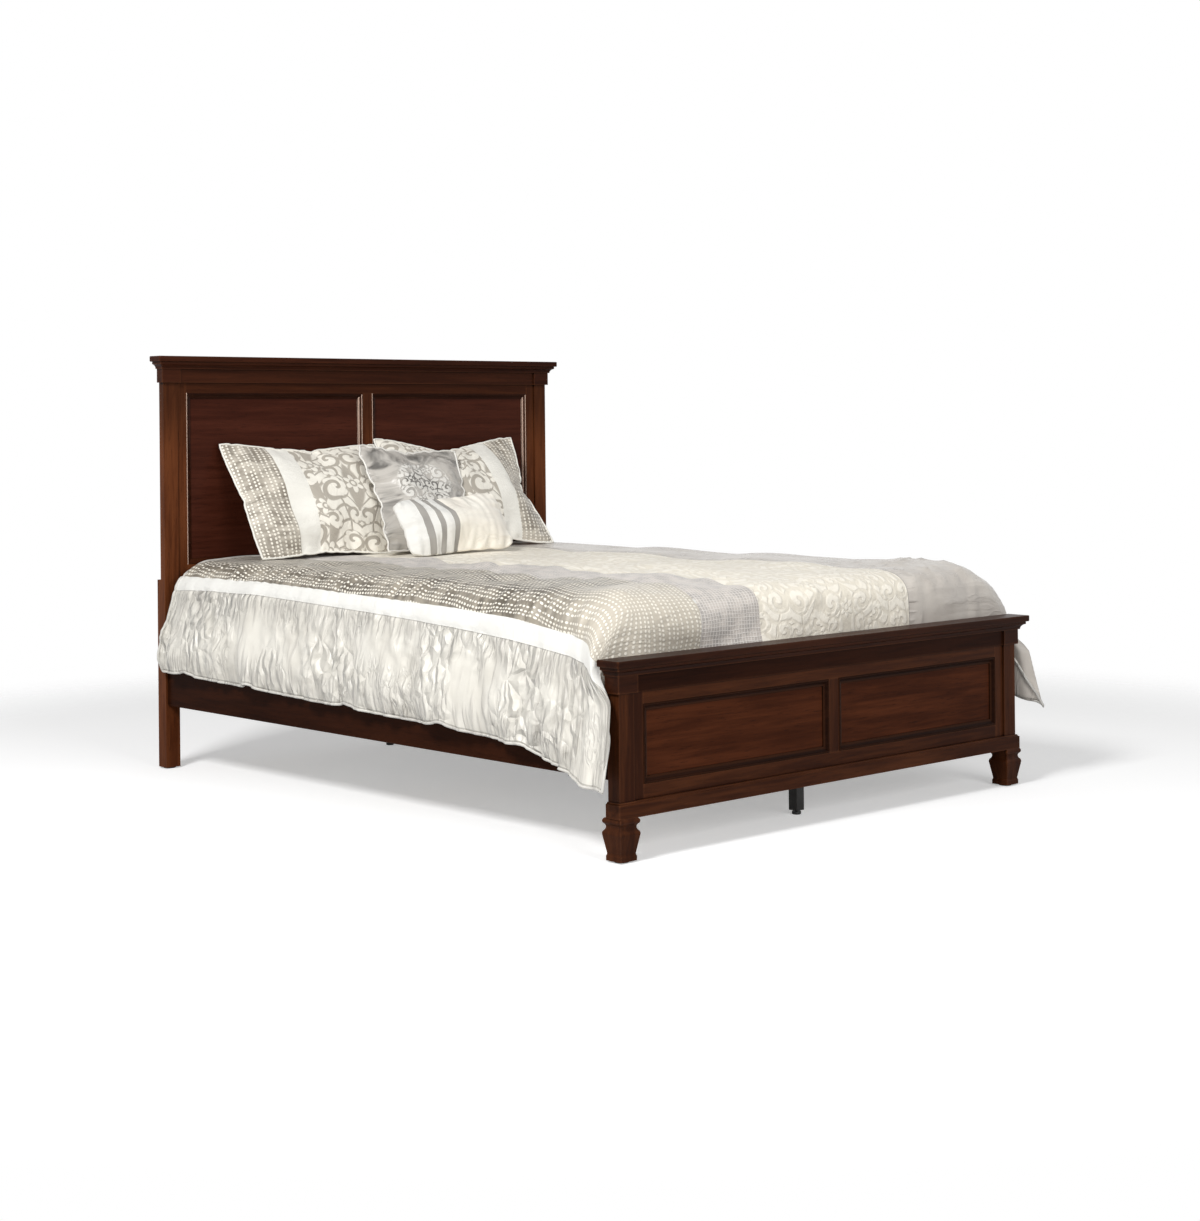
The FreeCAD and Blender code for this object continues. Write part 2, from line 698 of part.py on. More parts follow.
# Headboard
headboard = PanelBoard("headboard", head_face, size.head_post_depth, size.head_height,
                       size.head_sill, size.head_sill - size.head_bottom_rail)
headboard.build()
leg_back = headboard.back + size.rear_leg_depth
bolt_levels = (size.glide_height + size.bolt_margin, size.rear_leg_height - size.bolt_margin)
bolt_hole_width = size.bolt_width + size.screw_gap * 2
bolts = []
for side, word in ((-1, "left"), (1, "right")):
    name = f"headboard_post_{word}"
    stock, cuts = post(name, side, head_face, size.head_post_depth, size.glide_height,
                       headboard.crown_bottom, head_face, 1)
    leg_name = f"headboard_leg_{word}"
    leg_stock = block(f"{leg_name}_stock", across(side, post_inner, half_span),
                      (headboard.back, leg_back), (size.glide_height, size.rear_leg_height))
    leg_cuts = []
    for number, level in enumerate(bolt_levels, start=1):
        at = (post_axis * side, leg_back, level)
        seat = leg_back - size.bolt_sunk
        cuts.append(bore(f"{name}_bolt_hole_{number}", bolt_hole_width,
                         size.rear_leg_depth + size.bolt_bite, at, "-y"))
        leg_cuts.append(bore(f"{leg_name}_hole_{number}", bolt_hole_width,
                             size.rear_leg_depth, at, "-y"))
        leg_cuts.append(bore(f"{leg_name}_sink_{number}",
                             size.bolt_head_width + size.sink_gap * 2, size.bolt_sunk,
                             at, "-y"))
        bolt_length = size.rear_leg_depth - size.bolt_sunk + size.bolt_bite
        bolt_name = f"{leg_name}_bolt_{number}"
        shank = hexagon_bar(f"{bolt_name}_shank", size.bolt_width, -bolt_length, 0)
        head = hexagon_bar(f"{bolt_name}_head", size.bolt_head_width, 0, size.bolt_head_height)
        bolts.append(place(fuse(bolt_name, [shank, head]), (post_axis * side, seat, level), "y"))
    keep(cut(f"{name}_cut", stock, cuts), name)
    keep(cut(f"{leg_name}_cut", leg_stock, leg_cuts), leg_name)
keep(group("leg_bolt_group", bolts), "leg_bolts")

# Footboard
footboard = PanelBoard("footboard", foot_face, size.foot_post_depth, size.foot_height,
                       size.foot_sill, size.foot_top)
footboard.build()
for side, word in ((-1, "left"), (1, "right")):
    name = f"footboard_post_{word}"
    stock, cuts = post(name, side, foot_face, size.foot_post_depth, size.foot_top,
                       footboard.crown_bottom, footboard.back, -1)
    keep(cut(f"{name}_cut", stock, cuts), name)


def plinth():
    """Base moulding with mitred returns, packed out to the bottom rail between the posts."""
    depth = size.foot_post_depth
    shoulder = size.plinth_height - size.plinth_nose
    profile = (
        (-half_span, 0), (-half_span - size.plinth_reach, 0),
        (-half_span - size.plinth_reach, shoulder),
        (-half_span - size.plinth_reach + size.plinth_nose, size.plinth_height),
        (-half_span, size.plinth_height))
    path = ((-half_span, 0), (-half_span, -depth), (half_span, -depth), (half_span, 0))
    run = swept("plinth_run", "XZ_Plane", profile, {2: (size.plinth_nose, 1)},
                "XY_Plane", path)
    place(run, (0, footboard.back, size.foot_top))
    packing = block("plinth_packing", (-post_inner, post_inner),
                    (foot_face, footboard.frame_face),
                    (size.foot_top, size.foot_top + size.plinth_height))
    keep(fuse("plinth_joined", [run, packing]), "footboard_plinth")


def foot(word, side):
    """Four-sided shaped foot: one silhouette cut from the front and from the side."""
    tall = size.foot_top - size.glide_height
    bead = size.foot_bead_width / 2
    neck = size.foot_neck_width / 2
    shoulder = size.foot_shoulder_width / 2
    ankle = size.foot_ankle_width / 2
    toe = size.foot_toe_width / 2
    bead_low = tall - size.foot_bead_height
    neck_low = bead_low - size.foot_neck_height
    shoulder_low = neck_low - size.foot_shoulder_height
    flare_low = size.foot_toe_height
    flare_top = flare_low + size.foot_flare_height
    half = (
        (toe, 0), (toe, flare_low), (ankle, flare_top), (shoulder, shoulder_low),
        (neck, neck_low), (neck, bead_low), (neck, tall))
    right = {1: (size.foot_flare_height * 2, -1), 3: (size.foot_shoulder_height, 1),
             4: (size.foot_neck_height * 0.75, -1),
             5: (arc_radius(size.foot_bead_height, bead - neck), 1)}
    corners = half + tuple((-x, level) for x, level in reversed(half))
    last = 2 * len(half) - 2
    bulges = dict(right)
    bulges.update({last - edge: bulge for edge, bulge in right.items()})
    cutters = []
    for role in ("XZ_Plane", "YZ_Plane"):
        body = document.addObject("PartDesign::Body", f"foot_{word}_{role[:2].lower()}")
        outline = draw(sketch_on(body, role, f"{body.Name}_outline"), corners, bulges)
        pad(body, outline, size.foot_bead_width * 2, midplane=True)
        cutters.append(place(body, ((half_span - size.foot_inset) * side,
                                    foot_face + size.foot_post_depth / 2,
                                    size.glide_height)))
    shaped = document.addObject("Part::Common", f"foot_{word}_shaped")
    shaped.Base, shaped.Tool = cutters
    keep(shaped, f"foot_{word}")


plinth()
foot("left", -1)
foot("right", 1)

glides = []
for side, word in ((-1, "left"), (1, "right")):
    for end, x, y in (("head", post_axis, (head_face + leg_back) / 2),
                      ("foot", half_span - size.foot_inset,
                       foot_face + size.foot_post_depth / 2)):
        edge = size.glide_width / 2
        disc = turned(f"glide_{end}_{word}", (
            (0, 0), (edge - size.glide_bevel, 0), (edge, size.glide_bevel),
            (edge, size.glide_height), (0, size.glide_height)))
        glides.append(place(disc, (x * side, y, 0)))
keep(group("glide_group", glides), "floor_glides")


# Side rails with their cleats, hook plates and screws
def hook_plate(name, side, face, way):
    """Steel plate let into the rail's inner face, with two hooks past the rail's end."""
    tail = -size.hook_plate_length
    root = size.plate_thickness + size.hook_gap
    corners = [(tail, plate_low)]
    corners.append((0, plate_low))
    for level in hook_levels:
        corners += [(0, level), (root, level), (root, level - size.hook_drop),
                    (hook_reach, level - size.hook_drop), (hook_reach, level + size.hook_neck),
                    (0, level + size.hook_neck)]
    top = plate_low + size.plate_height
    corners += [(0, top), (tail, top)]
    body = document.addObject("PartDesign::Body", name)
    if way < 0:
        corners = [(-along, level) for along, level in reversed(corners)]
    outline = draw(sketch_on(body, "YZ_Plane", f"{name}_outline"), corners)
    pad(body, outline, size.plate_thickness)
    low, _ = across(side, rail_inner, rail_inner + size.plate_thickness)
    place(body, (low, face, 0))
    holes = [screw_hole(f"{name}_hole_{number}", size.plate_thickness * 2,
                        (rail_inner * side, y, z), "x" if side > 0 else "-x")
             for number, (y, z) in enumerate(hook_screw_spots(face, way), start=1)]
    return cut(f"{name}_drilled", body, holes)


def hook_screw_spots(face, way):
    """Places of the two screws of a hook plate, above the cleat."""
    along = face - size.hook_plate_length / 2 * way
    return ((along, plate_low + size.plate_height / 2),
            (along, plate_low + size.plate_height - plate_screw_margin))


def slot_plate(name, side, face, way):
    """Steel plate let into the post, with a slot for each hook."""
    y = (face, face + size.plate_thickness)
    if way < 0:
        y = (face - size.plate_thickness, face)
    width = size.plate_thickness + size.hook_gap * 2
    plate = block(f"{name}_stock", across(side, slot_inner, slot_outer), y,
                  (plate_low, plate_low + size.plate_height))
    slots = [
        block(f"{name}_slot_{number}",
              across(side, plate_axis - width / 2, plate_axis + width / 2), y,
              (level, level + size.hook_neck + size.hook_drop + size.lift_room))
        for number, level in enumerate(hook_levels, start=1)]
    holes = [screw_hole(f"{name}_hole_{number}", size.plate_thickness,
                        (slot_screw_axis * side, face, level), "y" if way > 0 else "-y")
             for number, level in enumerate(plate_screw_levels(), start=1)]
    return cut(f"{name}_drilled", plate, slots + holes)


cleat_start = rail_start + size.cleat_short
cleat_length = rail_length - size.cleat_short * 2
cleat_low = slat_bottom - size.cleat_height
cleat_screws = tuple(cleat_start + cleat_length * share for share in (0.08, 0.36, 0.64, 0.92))
slat_spots = tuple(rail_start + size.slat_margin + (rail_length - size.slat_margin * 2) * share
                   for share in (0, 0.5, 1))
hook_plates = []
slot_plates = []
screws = []
slat_screws = []
for side, word in ((-1, "left"), (1, "right")):
    name = f"side_rail_{word}"
    inward = "-x" if side > 0 else "x"
    outward = "x" if side > 0 else "-x"
    body = document.addObject("PartDesign::Body", f"{name}_body")
    low, high = across(side, rail_inner, rail_outer)
    outline = draw(sketch_on(body, "XZ_Plane", f"{name}_outline"), (
        (low, 0), (high, 0), (high, size.rail_height), (low, size.rail_height)))
    board = pad(body, outline, rail_length, reverse=True)
    ease(body, board, size.rail_round, runs_along("y"))
    place(body, (0, rail_start, size.rail_bottom))
    cuts = []
    for end, face, way in (("foot", rail_start, -1), ("head", head_face, 1)):
        piece = f"{word}_{end}"
        inside = face - size.hook_plate_length * way
        recess = (inside, face) if way > 0 else (face, inside)
        cuts.append(block(f"{name}_recess_{end}",
                          across(side, rail_inner, rail_inner + size.plate_thickness), recess,
                          (plate_low, plate_low + size.plate_height)))
        hook_plates.append(hook_plate(f"hook_plate_{piece}", side, face, way))
        slot_plates.append(slot_plate(f"slot_plate_{piece}", side, face, way))
        for number, level in enumerate(plate_screw_levels(), start=1):
            screws.append(wood_screw(f"slot_screw_{piece}_{number}",
                                     size.plate_thickness + size.screw_bite,
                                     (slot_screw_axis * side, face, level),
                                     "-y" if way > 0 else "y"))
        for number, (y, z) in enumerate(hook_screw_spots(face, way), start=1):
            at = (rail_inner * side, y, z)
            screws.append(wood_screw(f"hook_screw_{piece}_{number}", size.screw_bite, at, inward))
            cuts.append(screw_hole(f"{name}_hook_hole_{end}_{number}", size.screw_bite, at,
                                   outward))
    cleat_inner = rail_inner - size.cleat_width
    cleat = block(f"rail_cleat_{word}_stock", across(side, cleat_inner, rail_inner),
                  (cleat_start, cleat_start + cleat_length), (cleat_low, slat_bottom))
    cleat_cuts = []
    for number, y in enumerate(cleat_screws, start=1):
        at = (cleat_inner * side, y, cleat_low + size.cleat_height / 2)
        length = size.cleat_width + size.screw_bite
        screws.append(wood_screw(f"cleat_screw_{word}_{number}", length, at, inward))
        cleat_cuts.append(screw_hole(f"cleat_hole_{word}_{number}", length, at, outward))
        cuts.append(screw_hole(f"{name}_cleat_hole_{number}", length, at, outward))
    for number, y in enumerate(slat_spots, start=1):
        at = ((rail_inner - size.cleat_width / 2) * side, y, slat_top)
        length = size.slat_thickness + size.screw_bite
        slat_screws.append(wood_screw(f"slat_screw_{word}_{number}", length, at, "z"))
        cleat_cuts.append(screw_hole(f"cleat_slat_hole_{word}_{number}", length, at, "-z"))
    keep(cut(f"{name}_cut", body, cuts), name)
    keep(cut(f"rail_cleat_{word}_cut", cleat, cleat_cuts), f"rail_cleat_{word}")
keep(group("hook_plate_group", hook_plates), "rail_hook_plates")
keep(group("slot_plate_group", slot_plates), "post_slot_plates")

# Slats, centre legs and levelling feet
slat_half = rail_inner - size.slat_gap
leg_bottom = size.leveller_pad_height + size.leveller_gap
sleeve_width = size.stem_width + (size.stem_gap + size.sleeve_wall) * 2
stem_top = size.leveller_pad_height + size.stem_length
sleeves = []
leg_screws = []
for number, y in enumerate(slat_spots, start=1):
    slat = block(f"slat_{number}_stock", (-slat_half, slat_half),
                 (y - size.slat_width / 2, y + size.slat_width / 2), (slat_bottom, slat_top))
    screw_seat = slat_top - size.leg_screw_sunk
    screw_tip = slat_bottom - size.leg_screw_bite
    holes = [screw_hole(f"slat_{number}_hole_{word}", size.slat_thickness,
                        ((rail_inner - size.cleat_width / 2) * side, y, slat_top), "-z")
             for side, word in ((-1, "left"), (1, "right"))]
    holes.append(screw_hole(f"slat_{number}_leg_hole", size.slat_thickness,
                            (0, y, slat_top), "-z"))
    holes.append(bore(f"slat_{number}_leg_sink", size.screw_head_width + size.sink_gap * 2,
                      size.leg_screw_sunk, (0, y, slat_top), "-z"))
    keep(cut(f"slat_{number}_cut", slat, holes), f"slat_{number}")
    half_leg = size.leg_side / 2
    leg = block(f"centre_leg_{number}_stock", (-half_leg, half_leg),
                (y - half_leg, y + half_leg), (leg_bottom, slat_bottom))
    leg_holes = [
        bore(f"centre_leg_{number}_socket", sleeve_width, size.sleeve_length,
             (0, y, leg_bottom), "z"),
        bore(f"centre_leg_{number}_room", size.stem_width + size.stem_gap * 2,
             stem_top + size.stem_room - leg_bottom, (0, y, leg_bottom), "z"),
        screw_hole(f"centre_leg_{number}_screw_hole", slat_top - screw_tip, (0, y, slat_top),
                   "-z")]
    keep(cut(f"centre_leg_{number}_cut", leg, leg_holes), f"centre_leg_{number}")
    leg_screws.append(wood_screw(f"leg_screw_{number}", screw_seat - screw_tip,
                                 (0, y, screw_seat), "z"))
    inside = size.stem_width / 2 + size.stem_gap
    sleeves.append(place(turned(f"sleeve_{number}", (
        (inside, 0), (sleeve_width / 2, 0), (sleeve_width / 2, size.sleeve_length),
        (inside, size.sleeve_length))), (0, y, leg_bottom)))
    edge = size.leveller_pad_width / 2
    stem = size.stem_width / 2
    pad_height = size.leveller_pad_height
    leveller = turned(f"leveller_{number}_body", (
        (0, 0), (edge - size.glide_bevel, 0), (edge, size.glide_bevel), (edge, pad_height),
        (stem, pad_height), (stem, stem_top), (0, stem_top)))
    keep(place(leveller, (0, y, 0)), f"leveller_{number}")
keep(group("sleeve_group", sleeves), "leveller_sleeves")
keep(group("rail_screw_group", screws), "rail_screws")
keep(group("slat_screw_group", slat_screws + leg_screws), "slat_screws")


# Mattress and foundation
def bed_block(name, low, height, radius, rounded):
    body = document.addObject("PartDesign::Body", f"{name}_body")
    outline = draw(sketch_on(body, "XY_Plane", f"{name}_outline"), (
        (-mattress_half, 0), (mattress_half, 0), (mattress_half, size.mattress_length),
        (-mattress_half, size.mattress_length)))
    padded = pad(body, outline, height)
    ease(body, padded, radius, rounded)
    keep(place(body, (0, mattress_foot, low)), name)


bed_block("foundation", slat_top, size.foundation_height, size.foundation_round,
          runs_along("z"))
bed_block("mattress", mattress_base, size.mattress_height, size.mattress_round, any_edge)

# Comforter
quilt_top = mattress_top + size.rest_gap + size.quilt_thickness


def solid_through(wires, straight=False):
    """Solid through closed sections, either smooth or straight from each to the next."""
    return Part.makeLoft(wires, True, straight)


def polyline_wire(points, arcs):
    """Closed wire; arcs maps an edge's number to a point that the arc passes through."""
    edges = []
    for number, start in enumerate(points):
        end = points[(number + 1) % len(points)]
        if number in arcs:
            edges.append(Part.Arc(start, arcs[number], end).toShape())
        else:
            edges.append(Part.LineSegment(start, end).toShape())
    return Part.Wire(edges)


class Comforter:
    """Quilt over the mattress: a top, two hanging sides with folds, a tuck and two corners."""

    def __init__(self):
        gap = size.rest_gap.value
        self.half = mattress_half.value + gap
        self.under = mattress_top.value + gap
        self.top = quilt_top.value
        self.head = head_face.value - size.quilt_head_gap.value
        self.foot = mattress_foot.value - gap
        self.hem = size.quilt_hem.value
        self.shoulder = size.quilt_shoulder.value
        self.bend = size.mattress_round.value
        self.outer = self.half + size.quilt_bulge.value
        self.knee_inner = rail_outer.value + size.knee_clear.value
        self.knee_level = rail_top.value + size.knee_raise.value
        self.hem_inner = rail_outer.value + size.hem_clear.value
        self.count = int(size.fold_count.value)

    def hem_level(self, share):
        """Hem height; share is 0 at the head and 1 at the foot."""
        slope = size.hem_head.value - size.hem_foot.value
        return size.hem_head.value - slope * share - size.corner_fall.value * share ** 12

    def hem_wave(self, share):
        """How far the folds and the hanging corner swing the hem out."""
        swing = 0.5 - 0.5 * math.cos(2 * math.pi * self.count * share)
        return size.fold_depth.value * swing + self.corner_swing() * share ** 12

    def corner_swing(self):
        """Half of the way out to the tip of the corner."""
        tip_inner = half_span.value + size.corner_flare.value - self.hem
        return (tip_inner - self.hem_inner) / 2

    def section(self, share):
        """Inverted U across the bed."""
        y = self.head + (self.foot - self.head) * share
        hem = self.hem_level(share)
        inner = self.hem_inner + self.hem_wave(share)
        top = self.top - size.quilt_droop.value * share ** 24
        arc = self.bend * (1 - math.sqrt(0.5))
        turn = self.shoulder * (1 - math.sqrt(0.5))
        right = [
            (self.outer - self.shoulder, top), (self.outer, top - self.shoulder),
            (inner + self.hem, hem), (inner, hem), (self.knee_inner, self.knee_level),
            (self.half, self.under - self.bend), (self.half - self.bend, self.under)]
        left = [(-x, z) for x, z in reversed(right)]
        points = [Vector(x, y, z) for x, z in right + left]
        outside = Vector(self.outer - turn, y, top - turn)
        inside = Vector(self.half - arc, y, self.under - arc)
        arcs = {0: outside, 5: inside,
                7: Vector(-inside.x, y, inside.z), 12: Vector(-outside.x, y, outside.z)}
        return polyline_wire(points, arcs)

    def tuck(self):
        """Foot end of the quilt between the mattress and the footboard."""
        top = self.top - size.quilt_droop.value
        low = top - size.tuck_depth.value
        thick = size.tuck_thickness.value
        wires = []
        for share, draw_in, lift, fall in ((0, 0, 0, 0), (0.55, 4, 5, 8), (1, 10, 16, 28)):
            y = self.foot - thick * share
            half = self.outer - self.shoulder - draw_in
            points = [(-half, low + lift), (half, low + lift), (half, top - fall),
                      (-half, top - fall)]
            wires.append(polyline_wire([Vector(x, y, z) for x, z in points], {}))
        return solid_through(wires)

    def corner(self, side):
        """Corner that hangs beside the footboard post and swings out at its tip."""
        hem = self.hem_level(1)
        inner = self.hem_inner + self.hem_wave(1)
        crest = footboard.capital_bottom.value
        crest_inner = half_span.value + size.knee_clear.value
        tip = foot_face.value - size.corner_ahead.value
        tip_inner = half_span.value + size.corner_flare.value - self.hem
        edge = size.corner_edge.value
        wires = []
        for share in (0, 0.5, 1):
            y = self.foot + (tip - self.foot) * share
            foot_x = inner + (tip_inner - inner) * share
            head_x = crest_inner + (tip_inner - crest_inner) * share * 0.4
            head_z = crest + (hem + edge - crest) * share ** 1.5
            points = [(foot_x, hem), (foot_x + self.hem, hem),
                      (head_x + self.hem, head_z), (head_x, head_z)]
            wires.append(polyline_wire([Vector(x * side, y, z) for x, z in points], {}))
        return solid_through(wires)

    def shape(self):
        stations = [number / (4 * self.count) for number in range(4 * self.count + 1)]
        cover = solid_through([self.section(share) for share in stations])
        return cover.fuse([self.tuck(), self.corner(-1), self.corner(1)]).removeSplitter()


def feature(label, shape):
    thing = document.addObject("Part::Feature", f"{label}_form")
    thing.Shape = shape
    return keep(thing, label)


feature("comforter", Comforter().shape())


# Pillows
PILLOW_LEVELS = ((0.0, 1.0, 1.0), (0.25, 0.955, 0.65), (0.48, 0.89, 0.1), (0.68, 0.78, -0.45),
                 (0.84, 0.64, -0.85), (0.94, 0.46, -1.0), (1.0, 0.24, -0.7))


def pillow_half(width, height, crown, draw_in):
    """One face of a pillow, from its seam to its crown; the edges are drawn in at the seam."""
    wires = []
    for level, share, sag in PILLOW_LEVELS:
        half_x, half_y = width / 2 * share, height / 2 * share
        corners = [Vector(half_x * x, half_y * y, crown * level)
                   for x, y in ((-1, -1), (1, -1), (1, 1), (-1, 1))]
        middle = Vector(0, 0, crown * level)
        edges = []
        for number, start in enumerate(corners):
            end = corners[(number + 1) % 4]
            centre = (start + end) * 0.5
            inward = (middle - centre).normalize()
            through = centre + inward * (draw_in * sag)
            edges.append(Part.Arc(start, through, end).toShape())
        wires.append(Part.Wire(edges))
    return solid_through(wires, straight=True)


class Pillow:
    """Pillow that leans back with its lower edge on the comforter.

    lean is how far its upper edge lies behind the lower one, and roll how far its lower edge
    rises from left to right.
    """

    def __init__(self, width, height, depth, lean, x, foot_y, roll=0):
        self.width = width.value
        self.height = height.value
        self.depth = depth.value
        self.lean = math.degrees(math.asin(lean.value / self.height))
        self.roll = math.degrees(math.asin(as_length(roll).value / self.width))
        self.x = x
        self.foot_y = foot_y

    def form(self, room=0):
        """Whole pillow, grown by room on every side."""
        front = pillow_half(self.width + 2 * room, self.height + 2 * room,
                            self.depth / 2 + room, size.seam_draw.value)
        whole = front.fuse(front.mirror(Vector(), Vector(0, 0, 1)))
        tilt = math.radians(self.lean)
        turn = FreeCAD.Rotation(Vector(1, 0, 0), 90 - self.lean)
        spin = FreeCAD.Rotation(Vector(0, 0, 1), self.roll)
        centre = Vector(self.x, self.foot_y + self.height / 2 * math.sin(tilt),
                        quilt_top.value + self.height / 2 * math.cos(tilt))
        whole.Placement = FreeCAD.Placement(centre, turn.multiply(spin))
        return whole

    def pressed(self, behind):
        """Pillow flattened by the comforter and by what it leans on."""
        reach = 4 * (self.width + self.height)
        corner = Vector(self.x - reach / 2, self.foot_y - reach / 2,
                        quilt_top.value + size.rest_gap.value - reach)
        below = Part.makeBox(reach, reach, reach, corner)
        return self.form().cut(below).cut(behind)


room = size.rest_gap.value


def headboard_front():
    """What the shams lean on: the framed panels, the posts and the cornice, grown by a gap."""
    beyond = size.frame_length.value
    top = headboard.height.value + room
    outer = half_span.value + size.cap_overhang.value + room
    post_edge = post_inner.value - room
    steps = (
        (-outer, outer, headboard.frame_face - size.moulding_rise, as_length(0)),
        (-outer, -post_edge, headboard.face, as_length(0)),
        (post_edge, outer, headboard.face, as_length(0)),
        (-outer, outer, headboard.face - size.capital_reach, headboard.capital_bottom),
        (-outer, outer, headboard.face - size.crown_reach, headboard.crown_bottom),
        (-outer, outer, headboard.face - size.cap_overhang, headboard.cap_bottom))
    boxes = [
        Part.makeBox(right - left, beyond, top - low.value + room,
                     Vector(left, face.value - room, low.value - room))
        for left, right, face, low in steps]
    return boxes[0].fuse(boxes[1:])


sham_foot = headboard.frame_face.value - size.moulding_rise.value - room - size.sham_stand.value
wall = headboard_front()
shams = []
for side, word in ((-1, "left"), (1, "right")):
    sham_x = size.sham_offset.value + (size.sham_width + size.sham_space).value / 2 * side
    sham = Pillow(size.sham_width, size.sham_height, size.sham_depth, size.sham_stand, sham_x,
                  sham_foot)
    feature(f"sham_{word}", sham.pressed(wall))
    shams.append(sham.form(room))
square_foot = sham_foot - size.square_space.value
square = Pillow(size.square_side, size.square_side, size.square_depth, size.square_lean,
                size.square_offset.value, square_foot, size.square_roll)
feature("square_cushion", square.pressed(Part.makeCompound(shams)))
oblong = Pillow(size.oblong_width, size.oblong_height, size.oblong_depth, size.oblong_lean,
                size.oblong_offset.value, square_foot - size.oblong_space.value,
                size.oblong_roll)
feature("oblong_cushion", oblong.pressed(square.form(room)))

document.recompute()
for thing in document.Objects:
    for state in ("Invalid", "Error"):
        if state in thing.State:
            raise RuntimeError(f"{thing.Label} failed: {thing.State}")
for thing in sub_parts:
    if thing.Shape.isNull() or not thing.Shape.isValid():
        raise RuntimeError(f"{thing.Label} has no sound shape")
os.makedirs("parts", exist_ok=True)
for thing in sub_parts:
    thing.Shape.exportStep(f"parts/{thing.Label}.step")
print(len(sub_parts), "sub-parts written")
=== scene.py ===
"""Looks of a panel bed: stained wood, its fittings, and the made-up bedding.

Metres, +Z up, +Y towards the headboard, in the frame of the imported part.
"""

import logging
import math
from dataclasses import dataclass
from enum import Enum
from typing import Any, ClassVar, Optional, Union

import bpy
import numpy as np
from mathutils import Matrix, Vector
from mathutils.bvhtree import BVHTree

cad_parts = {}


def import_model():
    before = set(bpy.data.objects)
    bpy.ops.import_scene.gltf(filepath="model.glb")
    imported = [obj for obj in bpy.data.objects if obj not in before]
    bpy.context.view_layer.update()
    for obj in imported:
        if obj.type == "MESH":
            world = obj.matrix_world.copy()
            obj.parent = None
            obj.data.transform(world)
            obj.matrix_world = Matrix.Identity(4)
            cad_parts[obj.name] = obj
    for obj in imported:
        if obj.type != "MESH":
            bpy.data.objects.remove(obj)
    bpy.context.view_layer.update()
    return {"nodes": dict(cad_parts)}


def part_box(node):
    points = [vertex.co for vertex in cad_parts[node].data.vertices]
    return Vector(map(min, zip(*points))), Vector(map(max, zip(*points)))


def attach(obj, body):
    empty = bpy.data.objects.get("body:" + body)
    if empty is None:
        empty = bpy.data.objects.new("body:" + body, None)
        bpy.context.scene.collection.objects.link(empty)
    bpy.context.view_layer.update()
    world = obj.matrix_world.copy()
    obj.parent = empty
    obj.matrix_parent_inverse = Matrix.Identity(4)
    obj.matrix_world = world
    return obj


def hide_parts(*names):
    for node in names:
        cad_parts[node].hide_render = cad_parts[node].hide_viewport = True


LOG = logging.getLogger("bed")
Colour = tuple[float, float, float]
Span = tuple[float, float]
Term = Union["Value", float, tuple[float, ...]]
BODY = "bed"
FULL_TURN = 2 * math.pi
RIGHT_ANGLE = math.pi / 2
TINY = 1e-9


def rgba(colour: Colour) -> tuple[float, float, float, float]:
    """The colour with full opacity."""
    return (*colour, 1.0)


class Value:
    """A shader socket that takes part in Python arithmetic."""

    def __init__(self, graph: "Graph", socket: bpy.types.NodeSocket) -> None:
        """Keep the socket and the graph that it belongs to."""
        self.graph = graph
        self.socket = socket

    def __add__(self, other: Term) -> "Value":
        """Sum of two terms."""
        return self.graph.math("ADD", self, other)

    def __radd__(self, other: Term) -> "Value":
        """Sum of two terms."""
        return self.graph.math("ADD", other, self)

    def __sub__(self, other: Term) -> "Value":
        """Difference of two terms."""
        return self.graph.math("SUBTRACT", self, other)

    def __rsub__(self, other: Term) -> "Value":
        """Difference of two terms."""
        return self.graph.math("SUBTRACT", other, self)

    def __mul__(self, other: Term) -> "Value":
        """Product of two terms."""
        return self.graph.math("MULTIPLY", self, other)

    def __rmul__(self, other: Term) -> "Value":
        """Product of two terms."""
        return self.graph.math("MULTIPLY", other, self)

    def __truediv__(self, other: Term) -> "Value":
        """Quotient of two terms."""
        return self.graph.math("DIVIDE", self, other)

    def __abs__(self) -> "Value":
        """Size of the value."""
        return self.graph.math("ABSOLUTE", self)

    def sine(self) -> "Value":
        """Sine of the value."""
        return self.graph.math("SINE", self)

    def fraction(self) -> "Value":
        """Part of the value after the whole number below it."""
        return self.graph.math("FRACT", self)

    def floor(self) -> "Value":
        """Whole number below the value."""
        return self.graph.math("FLOOR", self)

    def larger(self, other: Term) -> "Value":
        """The larger of two terms."""
        return self.graph.math("MAXIMUM", self, other)

    def step(self, low: float, high: float) -> "Value":
        """Smooth rise from 0 to 1.

        Args:
            low: Where the rise starts; it may lie above high for a fall.
            high: Where the rise ends.

        Returns:
            The value after the rise.
        """
        inputs = {"Value": self, "From Min": low, "From Max": high}
        if low > high:
            inputs.update({"From Min": high, "From Max": low, "To Min": 1.0, "To Max": 0.0})
        settings = {"interpolation_type": "SMOOTHSTEP", "clamp": True}
        return self.graph.node("ShaderNodeMapRange", settings, inputs)


